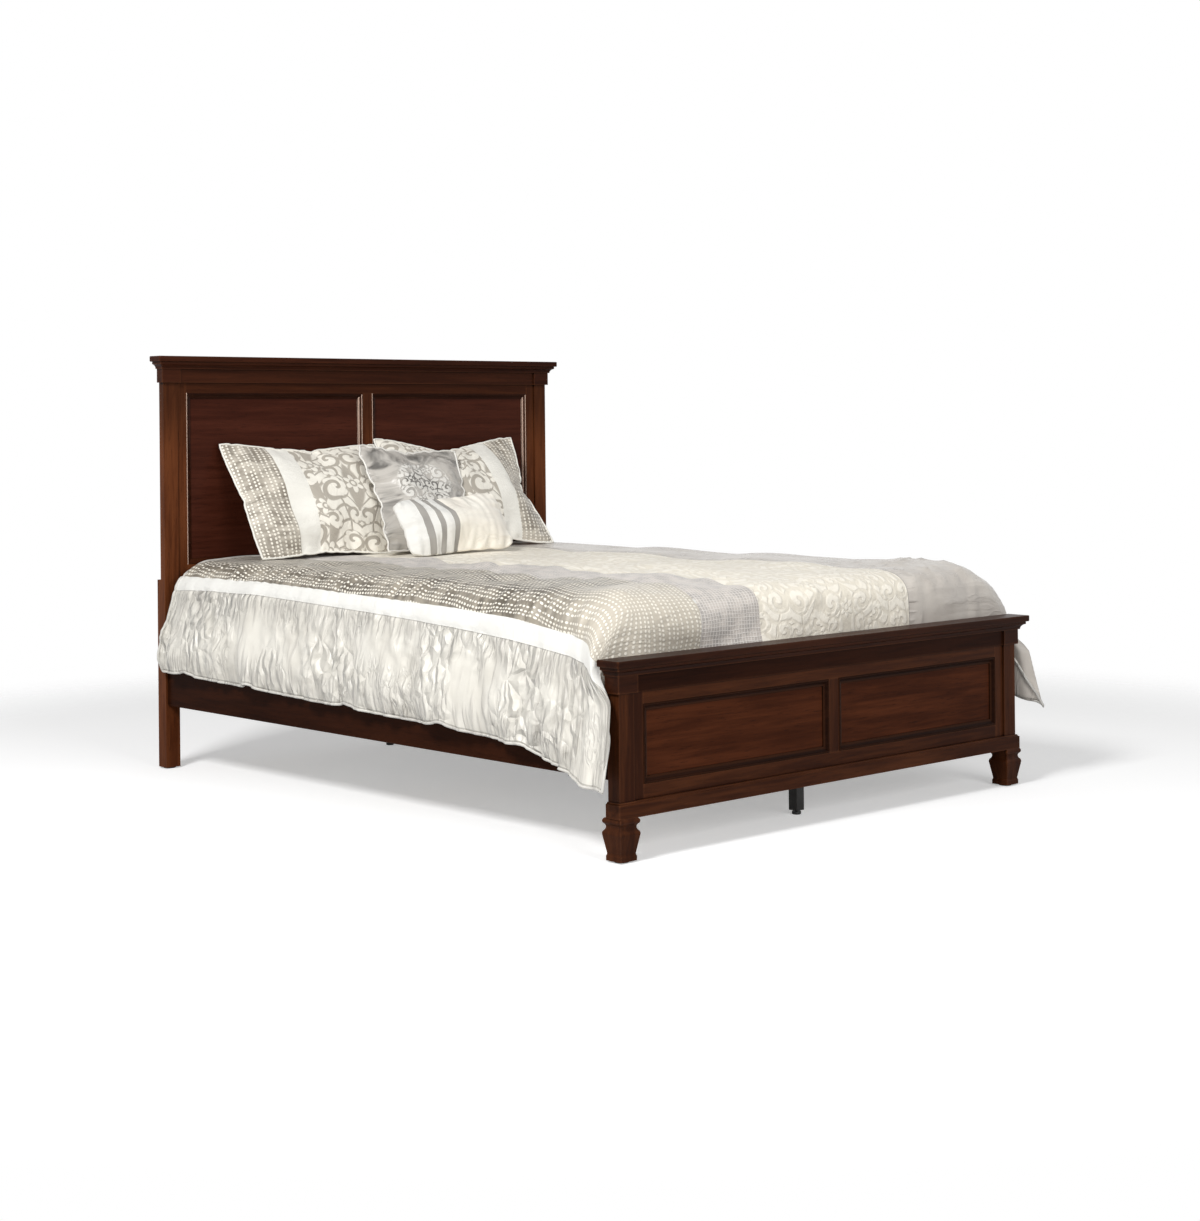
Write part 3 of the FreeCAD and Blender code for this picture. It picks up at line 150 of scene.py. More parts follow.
class Graph:
    """The node tree of a material or of the world."""

    NOISE_ROUGHNESS: ClassVar[float] = 0.55
    COLOUR_MIX_SOCKETS: ClassVar[tuple[int, int, int]] = (0, 6, 7)
    COLOUR_MIX_RESULT: ClassVar[int] = 2

    def __init__(self, owner: Union[bpy.types.Material, bpy.types.World]) -> None:
        """Start an empty tree.

        Args:
            owner: The material or world that the tree belongs to.
        """
        self.owner = owner
        owner.use_nodes = True
        self.tree = owner.node_tree
        self.tree.nodes.clear()

    @classmethod
    def of_material(cls, name: str) -> "Graph":
        """The empty tree of a new material of that name."""
        return cls(bpy.data.materials.new(name))

    def node(self, kind: str, settings: Optional[dict[str, Any]] = None,
             inputs: Optional[dict[Any, Any]] = None, out: Any = 0) -> Value:
        """Add any node.

        Args:
            kind: The node's type.
            settings: Its properties, set first.
            inputs: Values or links of its sockets, by name or number.
            out: Name or number of the output that is returned.

        Returns:
            That output.
        """
        made = self.tree.nodes.new(kind)
        for name, setting in (settings or {}).items():
            setattr(made, name, setting)
        for key, term in (inputs or {}).items():
            if isinstance(term, Value):
                self.tree.links.new(term.socket, made.inputs[key])
            else:
                made.inputs[key].default_value = term
        return Value(self, made.outputs[out])

    def math(self, operation: str, *terms: Term) -> Value:
        """Add a Math node.

        Args:
            operation: The Math node's operation.
            terms: Its inputs in order.

        Returns:
            The node's result.
        """
        return self.node("ShaderNodeMath", {"operation": operation}, dict(enumerate(terms)))

    def place(self) -> Value:
        """Object coordinates."""
        return self.node("ShaderNodeTexCoord", out="Object")

    def level(self) -> Value:
        """Height above the floor in metres."""
        return self.node("ShaderNodeSeparateXYZ", inputs={"Vector": self.place()}, out="Z")

    def facing_left(self) -> Value:
        """How far the surface faces the bed's left side, from -1 to 1."""
        normal = self.node("ShaderNodeTexCoord", out="Normal")
        return self.node("ShaderNodeSeparateXYZ", inputs={"Vector": normal}, out="X") * -1.0

    def cloth(self) -> tuple[Value, Value, Value]:
        """The cloth's own flat coordinates in metres.

        Returns:
            The vector, its part across and its part along.
        """
        flat = self.node("ShaderNodeUVMap", {"uv_map": "flat"})
        across = self.node("ShaderNodeSeparateXYZ", inputs={"Vector": flat}, out="X")
        along = Value(self, across.socket.node.outputs["Y"])
        return flat, across, along

    def scaled(self, vector: Value, factors: tuple[float, float, float]) -> Value:
        """The vector times a factor for each axis."""
        return self.node("ShaderNodeVectorMath", {"operation": "MULTIPLY"},
                         {0: vector, 1: factors})

    def joined(self, across: Term, along: Term) -> Value:
        """A vector from two parts."""
        return self.node("ShaderNodeCombineXYZ", inputs={"X": across, "Y": along})

    def noise(self, vector: Value, scale: float, detail: float = 2.0,
              distortion: float = 0.0) -> Value:
        """Soft noise from 0 to 1.

        Args:
            vector: Where it is read.
            scale: How fine it is.
            detail: Number of finer layers.
            distortion: How far it swirls.

        Returns:
            The noise.
        """
        return self.node("ShaderNodeTexNoise", {}, {
            "Vector": vector, "Scale": scale, "Detail": detail,
            "Roughness": self.NOISE_ROUGHNESS, "Distortion": distortion}, "Fac")

    def blend(self, mask: Term, first: Term, second: Term) -> Value:
        """Mix two colours.

        Args:
            mask: 0 for the first colour and 1 for the second.
            first: Colour with opacity, or a link.
            second: Colour with opacity, or a link.

        Returns:
            The mixed colour.
        """
        return self.node("ShaderNodeMix", {"data_type": "RGBA", "clamp_factor": True},
                         dict(zip(self.COLOUR_MIX_SOCKETS, (mask, first, second))),
                         self.COLOUR_MIX_RESULT)

    def openness(self, distance: float, samples: int, inside: bool = False) -> Value:
        """How open the surface is, from 0 in a tight corner to 1 in the open.

        Args:
            distance: How far other surfaces count.
            samples: Number of rays.
            inside: Whether the corners of the inside count, which are the outer edges.

        Returns:
            The openness.
        """
        return self.node("ShaderNodeAmbientOcclusion", {"samples": samples, "inside": inside},
                         {"Distance": distance}, "AO")

    def bump(self, height: Value, distance: float, strength: float = 1.0) -> Value:
        """Surface relief.

        Args:
            height: Height from 0 to 1.
            distance: Depth of the relief in metres.
            strength: How much of it shows.

        Returns:
            The bent normal.
        """
        return self.node("ShaderNodeBump", {}, {
            "Height": height, "Distance": distance, "Strength": strength})

    def finish(self, base: Term, rough: Term, normal: Optional[Value] = None,
               **constants: Any) -> bpy.types.Material:
        """End the material with a surface.

        Args:
            base: Base colour.
            rough: Roughness.
            normal: Bent normal, where there is relief.
            constants: Other sockets, with _ for a space in their names.

        Returns:
            The finished material.
        """
        inputs = {"Base Color": base, "Roughness": rough}
        inputs.update({name.replace("_", " "): amount for name, amount in constants.items()})
        if normal is not None:
            inputs["Normal"] = normal
        return self.end(self.node("ShaderNodeBsdfPrincipled", {}, inputs, "BSDF"))

    def end(self, surface: Value) -> Union[bpy.types.Material, bpy.types.World]:
        """Close the tree with its output node.

        Args:
            surface: The shader that is shown.

        Returns:
            The material or world.
        """
        kind = "World" if isinstance(self.owner, bpy.types.World) else "Material"
        last = self.tree.nodes.new(f"ShaderNodeOutput{kind}")
        self.tree.links.new(surface.socket, last.inputs["Surface"])
        return self.owner


class Grain(Enum):
    """Way that the wood's grain runs, as how fast it changes along each axis."""

    UPRIGHT = (1.0, 1.0, 0.06)
    ACROSS = (0.06, 1.0, 1.0)
    ALONG = (1.0, 0.06, 1.0)


@dataclass(frozen=True)
class StainedWood:
    """Wood with a stain that is wiped off the edges and left in the creases, with painted shade in
    the creases and, on some finishes, a painted highlight on the edges and painted shade towards the
    top.
    """

    dark: Colour
    warm: Colour
    # Colour of the lighter edges: bare wood where the stain is rubbed off, and a painted highlight.
    worn_and_lit: Colour = (0.21, 0.078, 0.032)
    glaze_and_shade: Colour = (0.005, 0.0017, 0.0012)
    roughness: float = 0.36
    crease: float = 0.92
    wear_and_highlight: float = 0.22
    shine: float = 0.05
    lit_edges: bool = False
    painted_top_shade: float = 0.0
    painted_top_shade_levels: Span = (0.98, 1.2)
    edge_width: float = 0.006
    crease_width: float = 0.011
    tone_scale: float = 7.0
    streak_scale: float = 75.0
    pore_scale: float = 380.0
    pore_depth: float = 0.0008

    def material(self, name: str, grain: Grain) -> bpy.types.Material:
        """Make the material.

        Args:
            name: Its name.
            grain: The way of the grain.

        Returns:
            The material.
        """
        graph = Graph.of_material(name)
        stretched = graph.scaled(graph.place(), grain.value)
        tone = graph.noise(stretched, self.tone_scale, 3.0, 0.8)
        streak = graph.noise(stretched, self.streak_scale, 4.0, 0.3)
        pores = graph.noise(stretched, self.pore_scale, 2.0)
        figure = tone * 0.55 + streak * 0.45
        base = graph.blend(figure.step(0.36, 0.66), rgba(self.dark), rgba(self.warm))
        base = graph.blend(pores.step(0.58, 0.72) * 0.45, base, rgba(self.glaze_and_shade))
        base = graph.blend(self.rubbed_and_lit_edges(graph), base, rgba(self.worn_and_lit))
        # Painted shade: the stain darkens from 0.98 m up to 1.2 m above the floor.
        if self.painted_top_shade:
            painted_top_shade_mask = graph.level().step(*self.painted_top_shade_levels) * self.painted_top_shade
            base = graph.blend(painted_top_shade_mask, base, rgba(self.glaze_and_shade))
        # Darker in closed creases: glaze left there, and painted shade where less light reaches.
        crease_glaze_and_shade = graph.openness(self.crease_width, 8).step(0.72, 0.42)
        base = graph.blend(crease_glaze_and_shade * self.crease, base, rgba(self.glaze_and_shade))
        rough = self.roughness + (streak - 0.5) * 0.16
        relief = graph.bump(streak * 0.6 + pores * 0.4, self.pore_depth, 0.35)
        return graph.finish(base, rough, relief, Specular_IOR_Level=self.shine)

    def rubbed_and_lit_edges(self, graph: Graph) -> Value:
        """Where the edges are lighter: stain rubbed off them, and a painted highlight.

        Args:
            graph: The material's graph.

        Returns:
            The mask of the lighter edges.
        """
        edge = graph.openness(self.edge_width, 4, inside=True).step(0.85, 0.4)
        # Lit edges: the lighter colour only where the edges face the left, as a painted highlight.
        if self.lit_edges:
            return edge * self.wear_and_highlight * graph.facing_left().step(0.2, 0.5)
        return edge * self.wear_and_highlight


@dataclass(frozen=True)
class SawnWood:
    """Plain softwood as it comes from the saw."""

    light: Colour = (0.56, 0.40, 0.24)
    ring: Colour = (0.40, 0.25, 0.13)
    ring_scale: float = 38.0
    saw_scale: float = 260.0
    saw_depth: float = 0.0006

    def material(self, name: str, grain: Grain) -> bpy.types.Material:
        """Make the material.

        Args:
            name: Its name.
            grain: The way of the grain.

        Returns:
            The material.
        """
        graph = Graph.of_material(name)
        stretched = graph.scaled(graph.place(), grain.value)
        rings = graph.noise(stretched, self.ring_scale, 2.0, 1.2)
        saw = graph.noise(graph.place(), self.saw_scale, 2.0)
        base = graph.blend(rings.step(0.45, 0.62), rgba(self.light), rgba(self.ring))
        return graph.finish(base, 0.62 + saw * 0.2, graph.bump(saw, self.saw_depth, 0.5))


@dataclass(frozen=True)
class Coated:
    """Painted, moulded or plated surface with a fine texture."""

    colour: Colour
    rub: Colour
    roughness: float
    metal: float = 0.0
    texture: float = 240.0
    patch_scale: float = 14.0
    depth: float = 0.0003

    def material(self, name: str) -> bpy.types.Material:
        """Make the material.

        Args:
            name: Its name.

        Returns:
            The material.
        """
        graph = Graph.of_material(name)
        skin = graph.noise(graph.place(), self.texture, 3.0)
        patch = graph.noise(graph.place(), self.patch_scale, 3.0)
        base = graph.blend(patch.step(0.5, 0.75), rgba(self.colour), rgba(self.rub))
        rough = self.roughness + (skin - 0.5) * 0.2
        return graph.finish(base, rough, graph.bump(skin, self.depth, 0.4), Metallic=self.metal)


def weave(graph: Graph, pitch: float) -> Value:
    """Height of a plain weave, from 0 to 1.

    Args:
        graph: The material's graph.
        pitch: Thread spacing in metres.

    Returns:
        The height.
    """
    _, across, along = graph.cloth()
    warp = (across * (FULL_TURN / pitch)).sine()
    weft = (along * (FULL_TURN / pitch)).sine()
    return warp * weft * 0.5 + 0.5


class Cloth:
    """A finish that follows the cloth's own flat coordinates."""

    def material(self, name: str) -> bpy.types.Material:
        """Make the material of that name."""
        return self.surface(Graph.of_material(name))

    def surface(self, graph: Graph) -> bpy.types.Material:
        """Colour and relief of the cloth, which each kind of cloth gives in its own way."""
        raise NotImplementedError


@dataclass(frozen=True)
class Satin(Cloth):
    """Satin with thin creases along the fall of the cloth and gathers at its seams."""

    colour: Colour
    shade: Colour
    roughness: float = 0.34
    crush: float = 0.012
    fine: float = 30.0
    seams: tuple[float, ...] = ()
    reach: float = 0.05
    # Colour painted along the creases and gathers: painted shade when dark, a painted highlight when
    # pale.
    crease: Colour = (0.36, 0.34, 0.31)
    streak: float = 0.55
    scuff: float = 1.0
    crumple: float = 0.0
    fold_height: float = 0.42
    crease_height: float = 0.20
    gather_height: float = 0.22
    stitch: Colour = (0.12, 0.11, 0.10)
    stitch_edges: Span = (0.0034, 0.0016)
    thread: float = 0.0016

    def surface(self, graph: Graph) -> bpy.types.Material:
        """Lay folds, creases, gathers and stitching over the satin, with painted shading along the
        creases and gathers.

        Args:
            graph: The material's graph.

        Returns:
            The material.
        """
        flat, across, _ = graph.cloth()
        upright, slanted = self.creases(graph)
        folds = graph.noise(graph.scaled(flat, (0.28, 1.0, 1.0)), self.fine * 0.4, 1.0, 0.2)
        height = folds * self.fold_height + (upright + slanted) * self.crease_height
        if self.crumple:
            height = height + self.facets(graph) * self.crumple
        crease_shading = upright * 0.5 + slanted * 0.3
        gather = self.ridge(graph, graph.scaled(flat, (0.05, 1.0, 1.0)), self.fine * 1.6, 0.3, 8.0)
        pull = graph.noise(graph.scaled(flat, (0.0, 1.0, 1.0)), self.fine, 1.0).step(0.3, 0.7)
        sewn: Term = 0.0
        for seam in self.seams:
            from_seam = abs(across - seam)
            near = (from_seam - pull * (self.reach * 0.7)).step(self.reach * 0.6, 0.0)
            height = height + gather * near * self.gather_height
            crease_shading = crease_shading + gather * near * 0.4
            sewn = from_seam.step(*self.stitch_edges) + sewn
        tint = graph.noise(flat, 9.0, 2.0)
        base = graph.blend(tint.step(0.35, 0.7), rgba(self.colour), rgba(self.shade))
        # Painted shading: the crease colour is laid along the creases and gathers.
        base = graph.blend(crease_shading * self.streak, base, rgba(self.crease))
        base = graph.blend(sewn * 0.4, base, rgba(self.stitch))
        rough = self.roughness + (tint - 0.5) * 0.12
        relief = graph.bump(height + weave(graph, self.thread) * 0.01, self.crush)
        return graph.finish(base, rough, relief, Sheen_Weight=0.1, Sheen_Roughness=0.4)

    def creases(self, graph: Graph) -> tuple[Value, Value]:
        """Thin creases, each kind in patches of its own.

        Args:
            graph: The material's graph.

        Returns:
            The creases along the fall of the cloth, and the slanted ones.
        """
        flat, _, _ = graph.cloth()
        strip = graph.noise(graph.scaled(flat, (0.5, 1.0, 1.0)), 7.0, 1.0).step(0.46, 0.62)
        drawn = graph.scaled(flat, (0.13, 1.0, 1.0))
        upright = self.ridge(graph, drawn, self.fine * 0.75, 0.35, 10.0) * strip
        patch = graph.noise(flat, 5.0, 2.0).step(0.47, 0.62)
        turned = graph.node("ShaderNodeMapping", {}, {
            "Vector": flat, "Rotation": (0.0, 0.0, 0.5), "Scale": (0.35, 1.0, 1.0)})
        slanted = self.ridge(graph, turned, self.fine * 1.4, 1.3, 7.0) * self.scuff * patch
        return upright, slanted

    def facets(self, graph: Graph) -> Value:
        """Crumpled satin, as small facets between sharp bends, in patches.

        Args:
            graph: The material's graph.

        Returns:
            The height of the facets.
        """
        flat, across, along = graph.cloth()
        sway = graph.noise(flat, 7.0, 2.0) - 0.5
        swing = graph.noise(graph.scaled(flat, (1.0, -1.0, 1.0)), 11.0, 2.0) - 0.5
        bent = graph.joined(across * 0.45 + sway * 0.10, along + swing * 0.06)
        facet = graph.node("ShaderNodeTexVoronoi",
                           {"feature": "DISTANCE_TO_EDGE", "voronoi_dimensions": "2D"},
                           {"Vector": bent, "Scale": self.fine * 0.9}, "Distance")
        return facet * graph.noise(flat, 3.6, 1.0).step(0.38, 0.58)

    @staticmethod
    def ridge(graph: Graph, place: Value, scale: float, swirl: float, thin: float) -> Value:
        """Sharp creases, from 0 to 1.

        Args:
            graph: The material's graph.
            place: Where they are read.
            scale: How close together they are.
            swirl: How far they wander.
            thin: How narrow they are.

        Returns:
            The height of the creases.
        """
        crest = 1.0 - abs(graph.noise(place, scale, 1.0, swirl) - 0.5) * thin
        return crest.larger(0.0)


@dataclass(frozen=True)
class PlainWeave(Cloth):
    """Matt woven cloth."""

    colour: Colour
    shade: Colour
    roughness: float = 0.62
    slack: float = 0.005
    thread: float = 0.002

    def surface(self, graph: Graph) -> bpy.types.Material:
        """Lay soft shades and threads over the cloth.

        Args:
            graph: The material's graph.

        Returns:
            The material.
        """
        flat, _, _ = graph.cloth()
        soft = graph.noise(graph.scaled(flat, (0.5, 1.0, 1.0)), 22.0, 3.0, 0.4)
        threads = weave(graph, self.thread)
        base = graph.blend(soft.step(0.3, 0.75) * 0.6, rgba(self.colour), rgba(self.shade))
        base = graph.blend(threads * 0.12, base, rgba(self.shade))
        relief = graph.bump(soft + threads * 0.06, self.slack)
        return graph.finish(base, self.roughness, relief, Sheen_Weight=0.2)


@dataclass(frozen=True)
class Dotted(Cloth):
    """Taupe satin with wavy rows of small woven dots."""

    ground: Colour = (0.092, 0.075, 0.052)
    # Pale ground in patches: partly random tone, partly painted sheen and shading on the ripples.
    pale: Colour = (0.34, 0.30, 0.24)
    dot: Colour = (0.94, 0.89, 0.78)
    # Colour of the painted sheen near the foot.
    worn_and_lit: Colour = (0.66, 0.60, 0.50)
    row: float = 0.0160
    pitch: float = 0.0125
    swerve: float = 0.075
    foot_sheen: float = 0.8
    foot_sheen_along: Span = (1.72, 2.05)
    fold: float = -1.0
    dot_reach: Span = (0.25, 0.37)
    depth: float = 0.006
    thread: float = 0.0018

    def surface(self, graph: Graph) -> bpy.types.Material:
        """Lay the dots, a pressed fold with painted shade, and a painted sheen near the foot over
        the ground.

        Args:
            graph: The material's graph.

        Returns:
            The material.
        """
        flat, _, along = graph.cloth()
        dots = self.dots(graph)
        mist = graph.noise(graph.scaled(flat, (1.0, 0.35, 1.0)), 17.0, 3.0)
        ripple = graph.noise(graph.scaled(flat, (0.3, 1.0, 1.0)), 34.0, 2.0, 0.8)
        tone = mist * 0.45 + ripple * 0.55
        crease = abs(along + (mist - 0.5) * 0.03 - self.fold).step(0.005, 0.002)
        pressed = crease * mist.step(0.35, 0.5)
        # Partly painted light: the pale patches follow the ripples' relief and stand in for the
        # satin's sheen.
        base = graph.blend(tone.step(0.36, 0.64), rgba(self.ground), rgba(self.pale))
        # Painted sheen: the ground turns pale towards the foot end.
        base = graph.blend(along.step(*self.foot_sheen_along) * self.foot_sheen, base, rgba(self.worn_and_lit))
        base = graph.blend(dots * 0.95, base, rgba(self.dot))
        # Painted shade along the pressed fold.
        base = graph.blend(pressed * 0.6, base, rgba(self.ground))
        height = dots * 0.2 + ripple * 0.8 - pressed * 0.3 + weave(graph, self.thread) * 0.02
        return graph.finish(base, 0.42 - dots * 0.1, graph.bump(height, self.depth),
                            Sheen_Weight=0.15)

    def dots(self, graph: Graph) -> Value:
        """Rows of dots that wander, each row with its own start.

        Args:
            graph: The material's graph.

        Returns:
            The mask of the dots.
        """
        flat, across, along = graph.cloth()
        wander = (graph.noise(graph.scaled(flat, (1.0, 0.8, 1.0)), 4.2, 1.0) - 0.5) * self.swerve
        lane = (across + wander) / self.row
        number = lane.floor()
        start = graph.node("ShaderNodeTexWhiteNoise", {"noise_dimensions": "1D"},
                           {"W": number}, "Value")
        beat = along / self.pitch + start * 0.35
        kept = graph.node("ShaderNodeTexWhiteNoise", {"noise_dimensions": "2D"},
                          {"Vector": graph.joined(number, beat.floor())}, "Value")
        in_lane = (lane.fraction() - 0.3 - start * 0.4) / self.dot_reach[0]
        in_beat = (beat.fraction() - 0.5) / self.dot_reach[1]
        round_dot = (in_lane * in_lane + in_beat * in_beat).step(1.1, 0.6)
        return round_dot * kept.step(0.005, 0.02)


@dataclass(frozen=True)
class Netted(Cloth):
    """Lavender-grey cloth with a fine net of crossing pale lines."""

    ground: Colour = (0.60, 0.545, 0.495)
    deep: Colour = (0.40, 0.37, 0.345)
    line: Colour = (0.86, 0.82, 0.77)
    pitch: float = 0.0105
    swerve: float = 0.016
    line_edges: Span = (0.16, 0.06)
    depth: float = 0.0045

    def surface(self, graph: Graph) -> bpy.types.Material:
        """Lay the net over the cloth.

        Args:
            graph: The material's graph.

        Returns:
            The material.
        """
        flat, across, along = graph.cloth()
        sway = (graph.noise(flat, 11.0, 2.0) - 0.5) * self.swerve
        swing = (graph.noise(graph.scaled(flat, (0.7, 1.3, 1.0)), 9.0, 2.0) - 0.5) * self.swerve
        upright = abs(((across + sway) / self.pitch).fraction() - 0.5).step(*self.line_edges)
        level = abs(((along + swing) / self.pitch).fraction() - 0.5).step(*self.line_edges)
        line = upright.larger(level * 0.8)
        mist = graph.noise(flat, 24.0, 3.0)
        base = graph.blend(mist.step(0.36, 0.66), rgba(self.ground), rgba(self.deep))
        base = graph.blend(line * 0.8, base, rgba(self.line))
        relief = graph.bump(line * 0.25 + mist * 0.9, self.depth)
        return graph.finish(base, 0.45, relief, Sheen_Weight=0.15)


class Scrolls:
    """Leaf scrolls in mirrored cells, as in common damask weaves.

    Leaves and rosettes have their place in the cell, their radius, and then their winding or
    their number of petals.
    """

    FROND: ClassVar[tuple[float, ...]] = (0.25, 0.10, 7.0, 0.24)
    LEAVES: ClassVar[tuple[tuple[float, ...], ...]] = (
        (0.09, 0.93, 0.13, 0.9), (0.27, 0.44, 0.14, -0.9), (0.30, 0.20, 0.19, 1.15),
        (0.15, 0.63, 0.17, -1.1), (0.42, 0.84, 0.15, 1.0))
    ROSETTES: ClassVar[tuple[tuple[float, ...], ...]] = ((0.0, 0.27, 0.15, 6), (0.5, 0.50, 0.14, 5))

    def __init__(self, graph: Graph, width: float, height: float, soft: float = 1.0) -> None:
        """Lay the cells over the cloth.

        Args:
            graph: The material's graph.
            width: Width of a cell.
            height: Height of a cell.
            soft: How many times softer the edges are.
        """
        self.graph = graph
        self.soft = soft
        flat, across, along = graph.cloth()
        sway = graph.noise(flat, 2.2 / width, 1.0) - 0.5
        column = across / width
        level = along / height + column.floor() * 0.5
        self.x = abs((column.fraction() - 0.5) + sway * 0.16)
        self.y = level.fraction() + sway * 0.14

    def polar(self, x: float, y: float) -> tuple[Value, Value]:
        """Distance and angle from a point of the cell.

        Args:
            x: The point from the cell's middle line.
            y: The point from the cell's lower edge.

        Returns:
            The distance in cell widths, and the angle in radians.
        """
        side = self.x - x
        rise = (self.y - y) * 1.25
        far = self.graph.math("SQRT", side * side + rise * rise)
        return far, self.graph.math("ARCTAN2", rise, side)

    def volute(self, x: float, y: float, reach: float, turn: float) -> tuple[Value, Value]:
        """A lobed leaf that winds into a point.

        Args:
            x: The point from the cell's middle line.
            y: The point from the cell's lower edge.
            reach: Radius of the leaf.
            turn: Winding, with its sign for the hand.

        Returns:
            The leaf's mask, and the mask of the ground that it covers.
        """
        far, angle = self.polar(x, y)
        outline = (abs((angle * 3.5 + far * 9.0).sine()) * 0.2 + 0.8) * reach
        band = (angle + far * (turn * FULL_TURN / reach)).sine()
        leaf = band.step(-0.72, -0.72 + 0.42 * self.soft)
        return leaf * (outline - far).step(0.0, 0.025 * self.soft), far.step(reach, reach * 0.9)

    def flower(self, x: float, y: float, reach: float, petals: int) -> tuple[Value, Value]:
        """A rosette of petals about a point.

        Args:
            x: The point from the cell's middle line.
            y: The point from the cell's lower edge.
            reach: Radius of the rosette.
            petals: Number of petals.

        Returns:
            The rosette's mask, and the mask of the ground that it covers.
        """
        far, angle = self.polar(x, y)
        outline = (abs((angle * (petals / 2)).sine()) * 0.5 + 0.5) * reach
        eye = abs(far - reach * 0.3).step(0.006, 0.018)
        return (outline - far).step(0.0, 0.02 * self.soft) * eye, far.step(reach, reach * 0.92)

    def frond(self, middle: float, swing: float, lobes: float, reach: float) -> Value:
        """A winding stem with leaf lobes on both sides and a vein.

        Args:
            middle: Mean place of the stem from the cell's middle line.
            swing: How far it winds to each side.
            lobes: Number of lobes in a cell.
            reach: Length of the lobes.

        Returns:
            The frond's mask.
        """
        off = self.x - middle - (self.y * FULL_TURN).sine() * swing
        far = abs(off)
        sweep = abs(((self.y * lobes + far * far * 16.0) * math.pi).sine())
        leaf = sweep.step(0.14, 0.14 + 0.28 * self.soft) * far.step(reach, reach * 0.8)
        return leaf * far.step(0.006, 0.018)

    def mask(self) -> Value:
        """The whole ornament's mask.

        Returns:
            1 on the ornament and 0 on the ground.
        """
        whole = self.frond(*self.FROND)
        laid = [self.volute(*leaf) for leaf in self.LEAVES]
        laid += [self.flower(*rosette) for rosette in self.ROSETTES]
        for figure, ground in laid:
            whole = whole * (1.0 - ground) + figure * ground
        return whole


@dataclass(frozen=True)
class Damask(Cloth):
    """Figured weave: a satin figure on a duller ground."""

    ground: Colour
    figure: Colour
    width: float
    height: float
    relief: float = 0.004
    slack: float = 0.008
    soft: float = 1.0
    thread: float = 0.0018

    def surface(self, graph: Graph) -> bpy.types.Material:
        """Lay the figure over the ground.

        Args:
            graph: The material's graph.

        Returns:
            The material.
        """
        flat, _, _ = graph.cloth()
        figure = Scrolls(graph, self.width, self.height, self.soft).mask()
        mist = graph.noise(flat, 17.0, 3.0, 0.5)
        base = graph.blend(figure, rgba(self.ground), rgba(self.figure))
        height = figure * (self.relief / self.slack) + mist + weave(graph, self.thread) * 0.02
        return graph.finish(base, 0.56 - figure * 0.10, graph.bump(height, self.slack),
                            Sheen_Weight=0.1)


@dataclass(frozen=True)
class Embroidered(Cloth):
    """Silver satin with a raised scroll motif in its middle."""

    ground: Colour = (0.53, 0.50, 0.455)
    shade: Colour = (0.125, 0.117, 0.105)
    thread: Colour = (0.82, 0.80, 0.75)
    middle: Span = (0.20, 0.24)
    reach: Span = (0.115, 0.095)
    cell: Span = (0.15, 0.17)
    depth: float = 0.012

    def surface(self, graph: Graph) -> bpy.types.Material:
        """Lay the motif over crushed satin.

        Args:
            graph: The material's graph.

        Returns:
            The material.
        """
        flat, across, along = graph.cloth()
        side = (across - self.middle[0]) / self.reach[0]
        rise = (along - self.middle[1]) / self.reach[1]
        inside = (side * side + rise * rise).step(1.1, 0.85)
        motif = Scrolls(graph, *self.cell).mask() * inside
        crush = graph.noise(graph.scaled(flat, (0.6, 1.0, 1.0)), 13.0, 3.0, 1.3)
        # Painted shade: the dark shade colour follows the crush's relief.
        base = graph.blend(crush.step(0.42, 0.68), rgba(self.ground), rgba(self.shade))
        base = graph.blend(motif * 0.85, base, rgba(self.thread))
        relief = graph.bump(crush + motif * 0.15, self.depth)
        return graph.finish(base, 0.30 + motif * 0.2, relief, Sheen_Weight=0.1)


@dataclass(frozen=True)
class Ripples:
    """Wrinkles as a seeded sum of waves about one heading."""

    longest: float
    shortest: float
    heading: float
    spread: float
    seed: int
    count: int = 36

    def height(self, across: np.ndarray, along: np.ndarray) -> np.ndarray:
        """Height of the wrinkles, about 1 at their crests.

        Args:
            across: Flat place across the cloth.
            along: Flat place along it.

        Returns:
            The heights.
        """
        chance = np.random.default_rng(self.seed)
        total = np.zeros_like(across)
        power = 0.0
        for _ in range(self.count):
            length = math.exp(chance.uniform(math.log(self.shortest), math.log(self.longest)))
            angle = self.heading + chance.normal(0.0, self.spread)
            phase = chance.uniform(0.0, FULL_TURN)
            weight = (length / self.longest) ** 0.7
            way = across * math.cos(angle) + along * math.sin(angle)
            total += weight * np.sin(way * (FULL_TURN / length) + phase)
            power += weight * weight / 2
        return total / math.sqrt(power)


def ramp(values: np.ndarray, start: float, end: float) -> np.ndarray:
    """Straight rise from 0 at the start to 1 at the end, which may lie below the start."""
    return np.clip((values - start) / (end - start), 0.0, 1.0)


def eased(share: np.ndarray) -> np.ndarray:
    """A share from 0 to 1 that leaves and arrives softly."""
    return share * share * (3 - 2 * share)


def bell(values: np.ndarray, width: Union[float, np.ndarray]) -> np.ndarray:
    """Bell curve of that width, 1 where the values are 0."""
    return np.exp(-(values / width) ** 2)


def deselect() -> None:
    """Leave nothing selected and no object in edit mode."""
    if bpy.context.object and bpy.context.object.mode != "OBJECT":
        bpy.ops.object.mode_set(mode="OBJECT")
    bpy.ops.object.select_all(action="DESELECT")


def take(piece: bpy.types.Object) -> None:
    """Make a piece the only selected and active one.

    Args:
        piece: The piece.
    """
    deselect()
    piece.select_set(True)
    bpy.context.view_layer.objects.active = piece


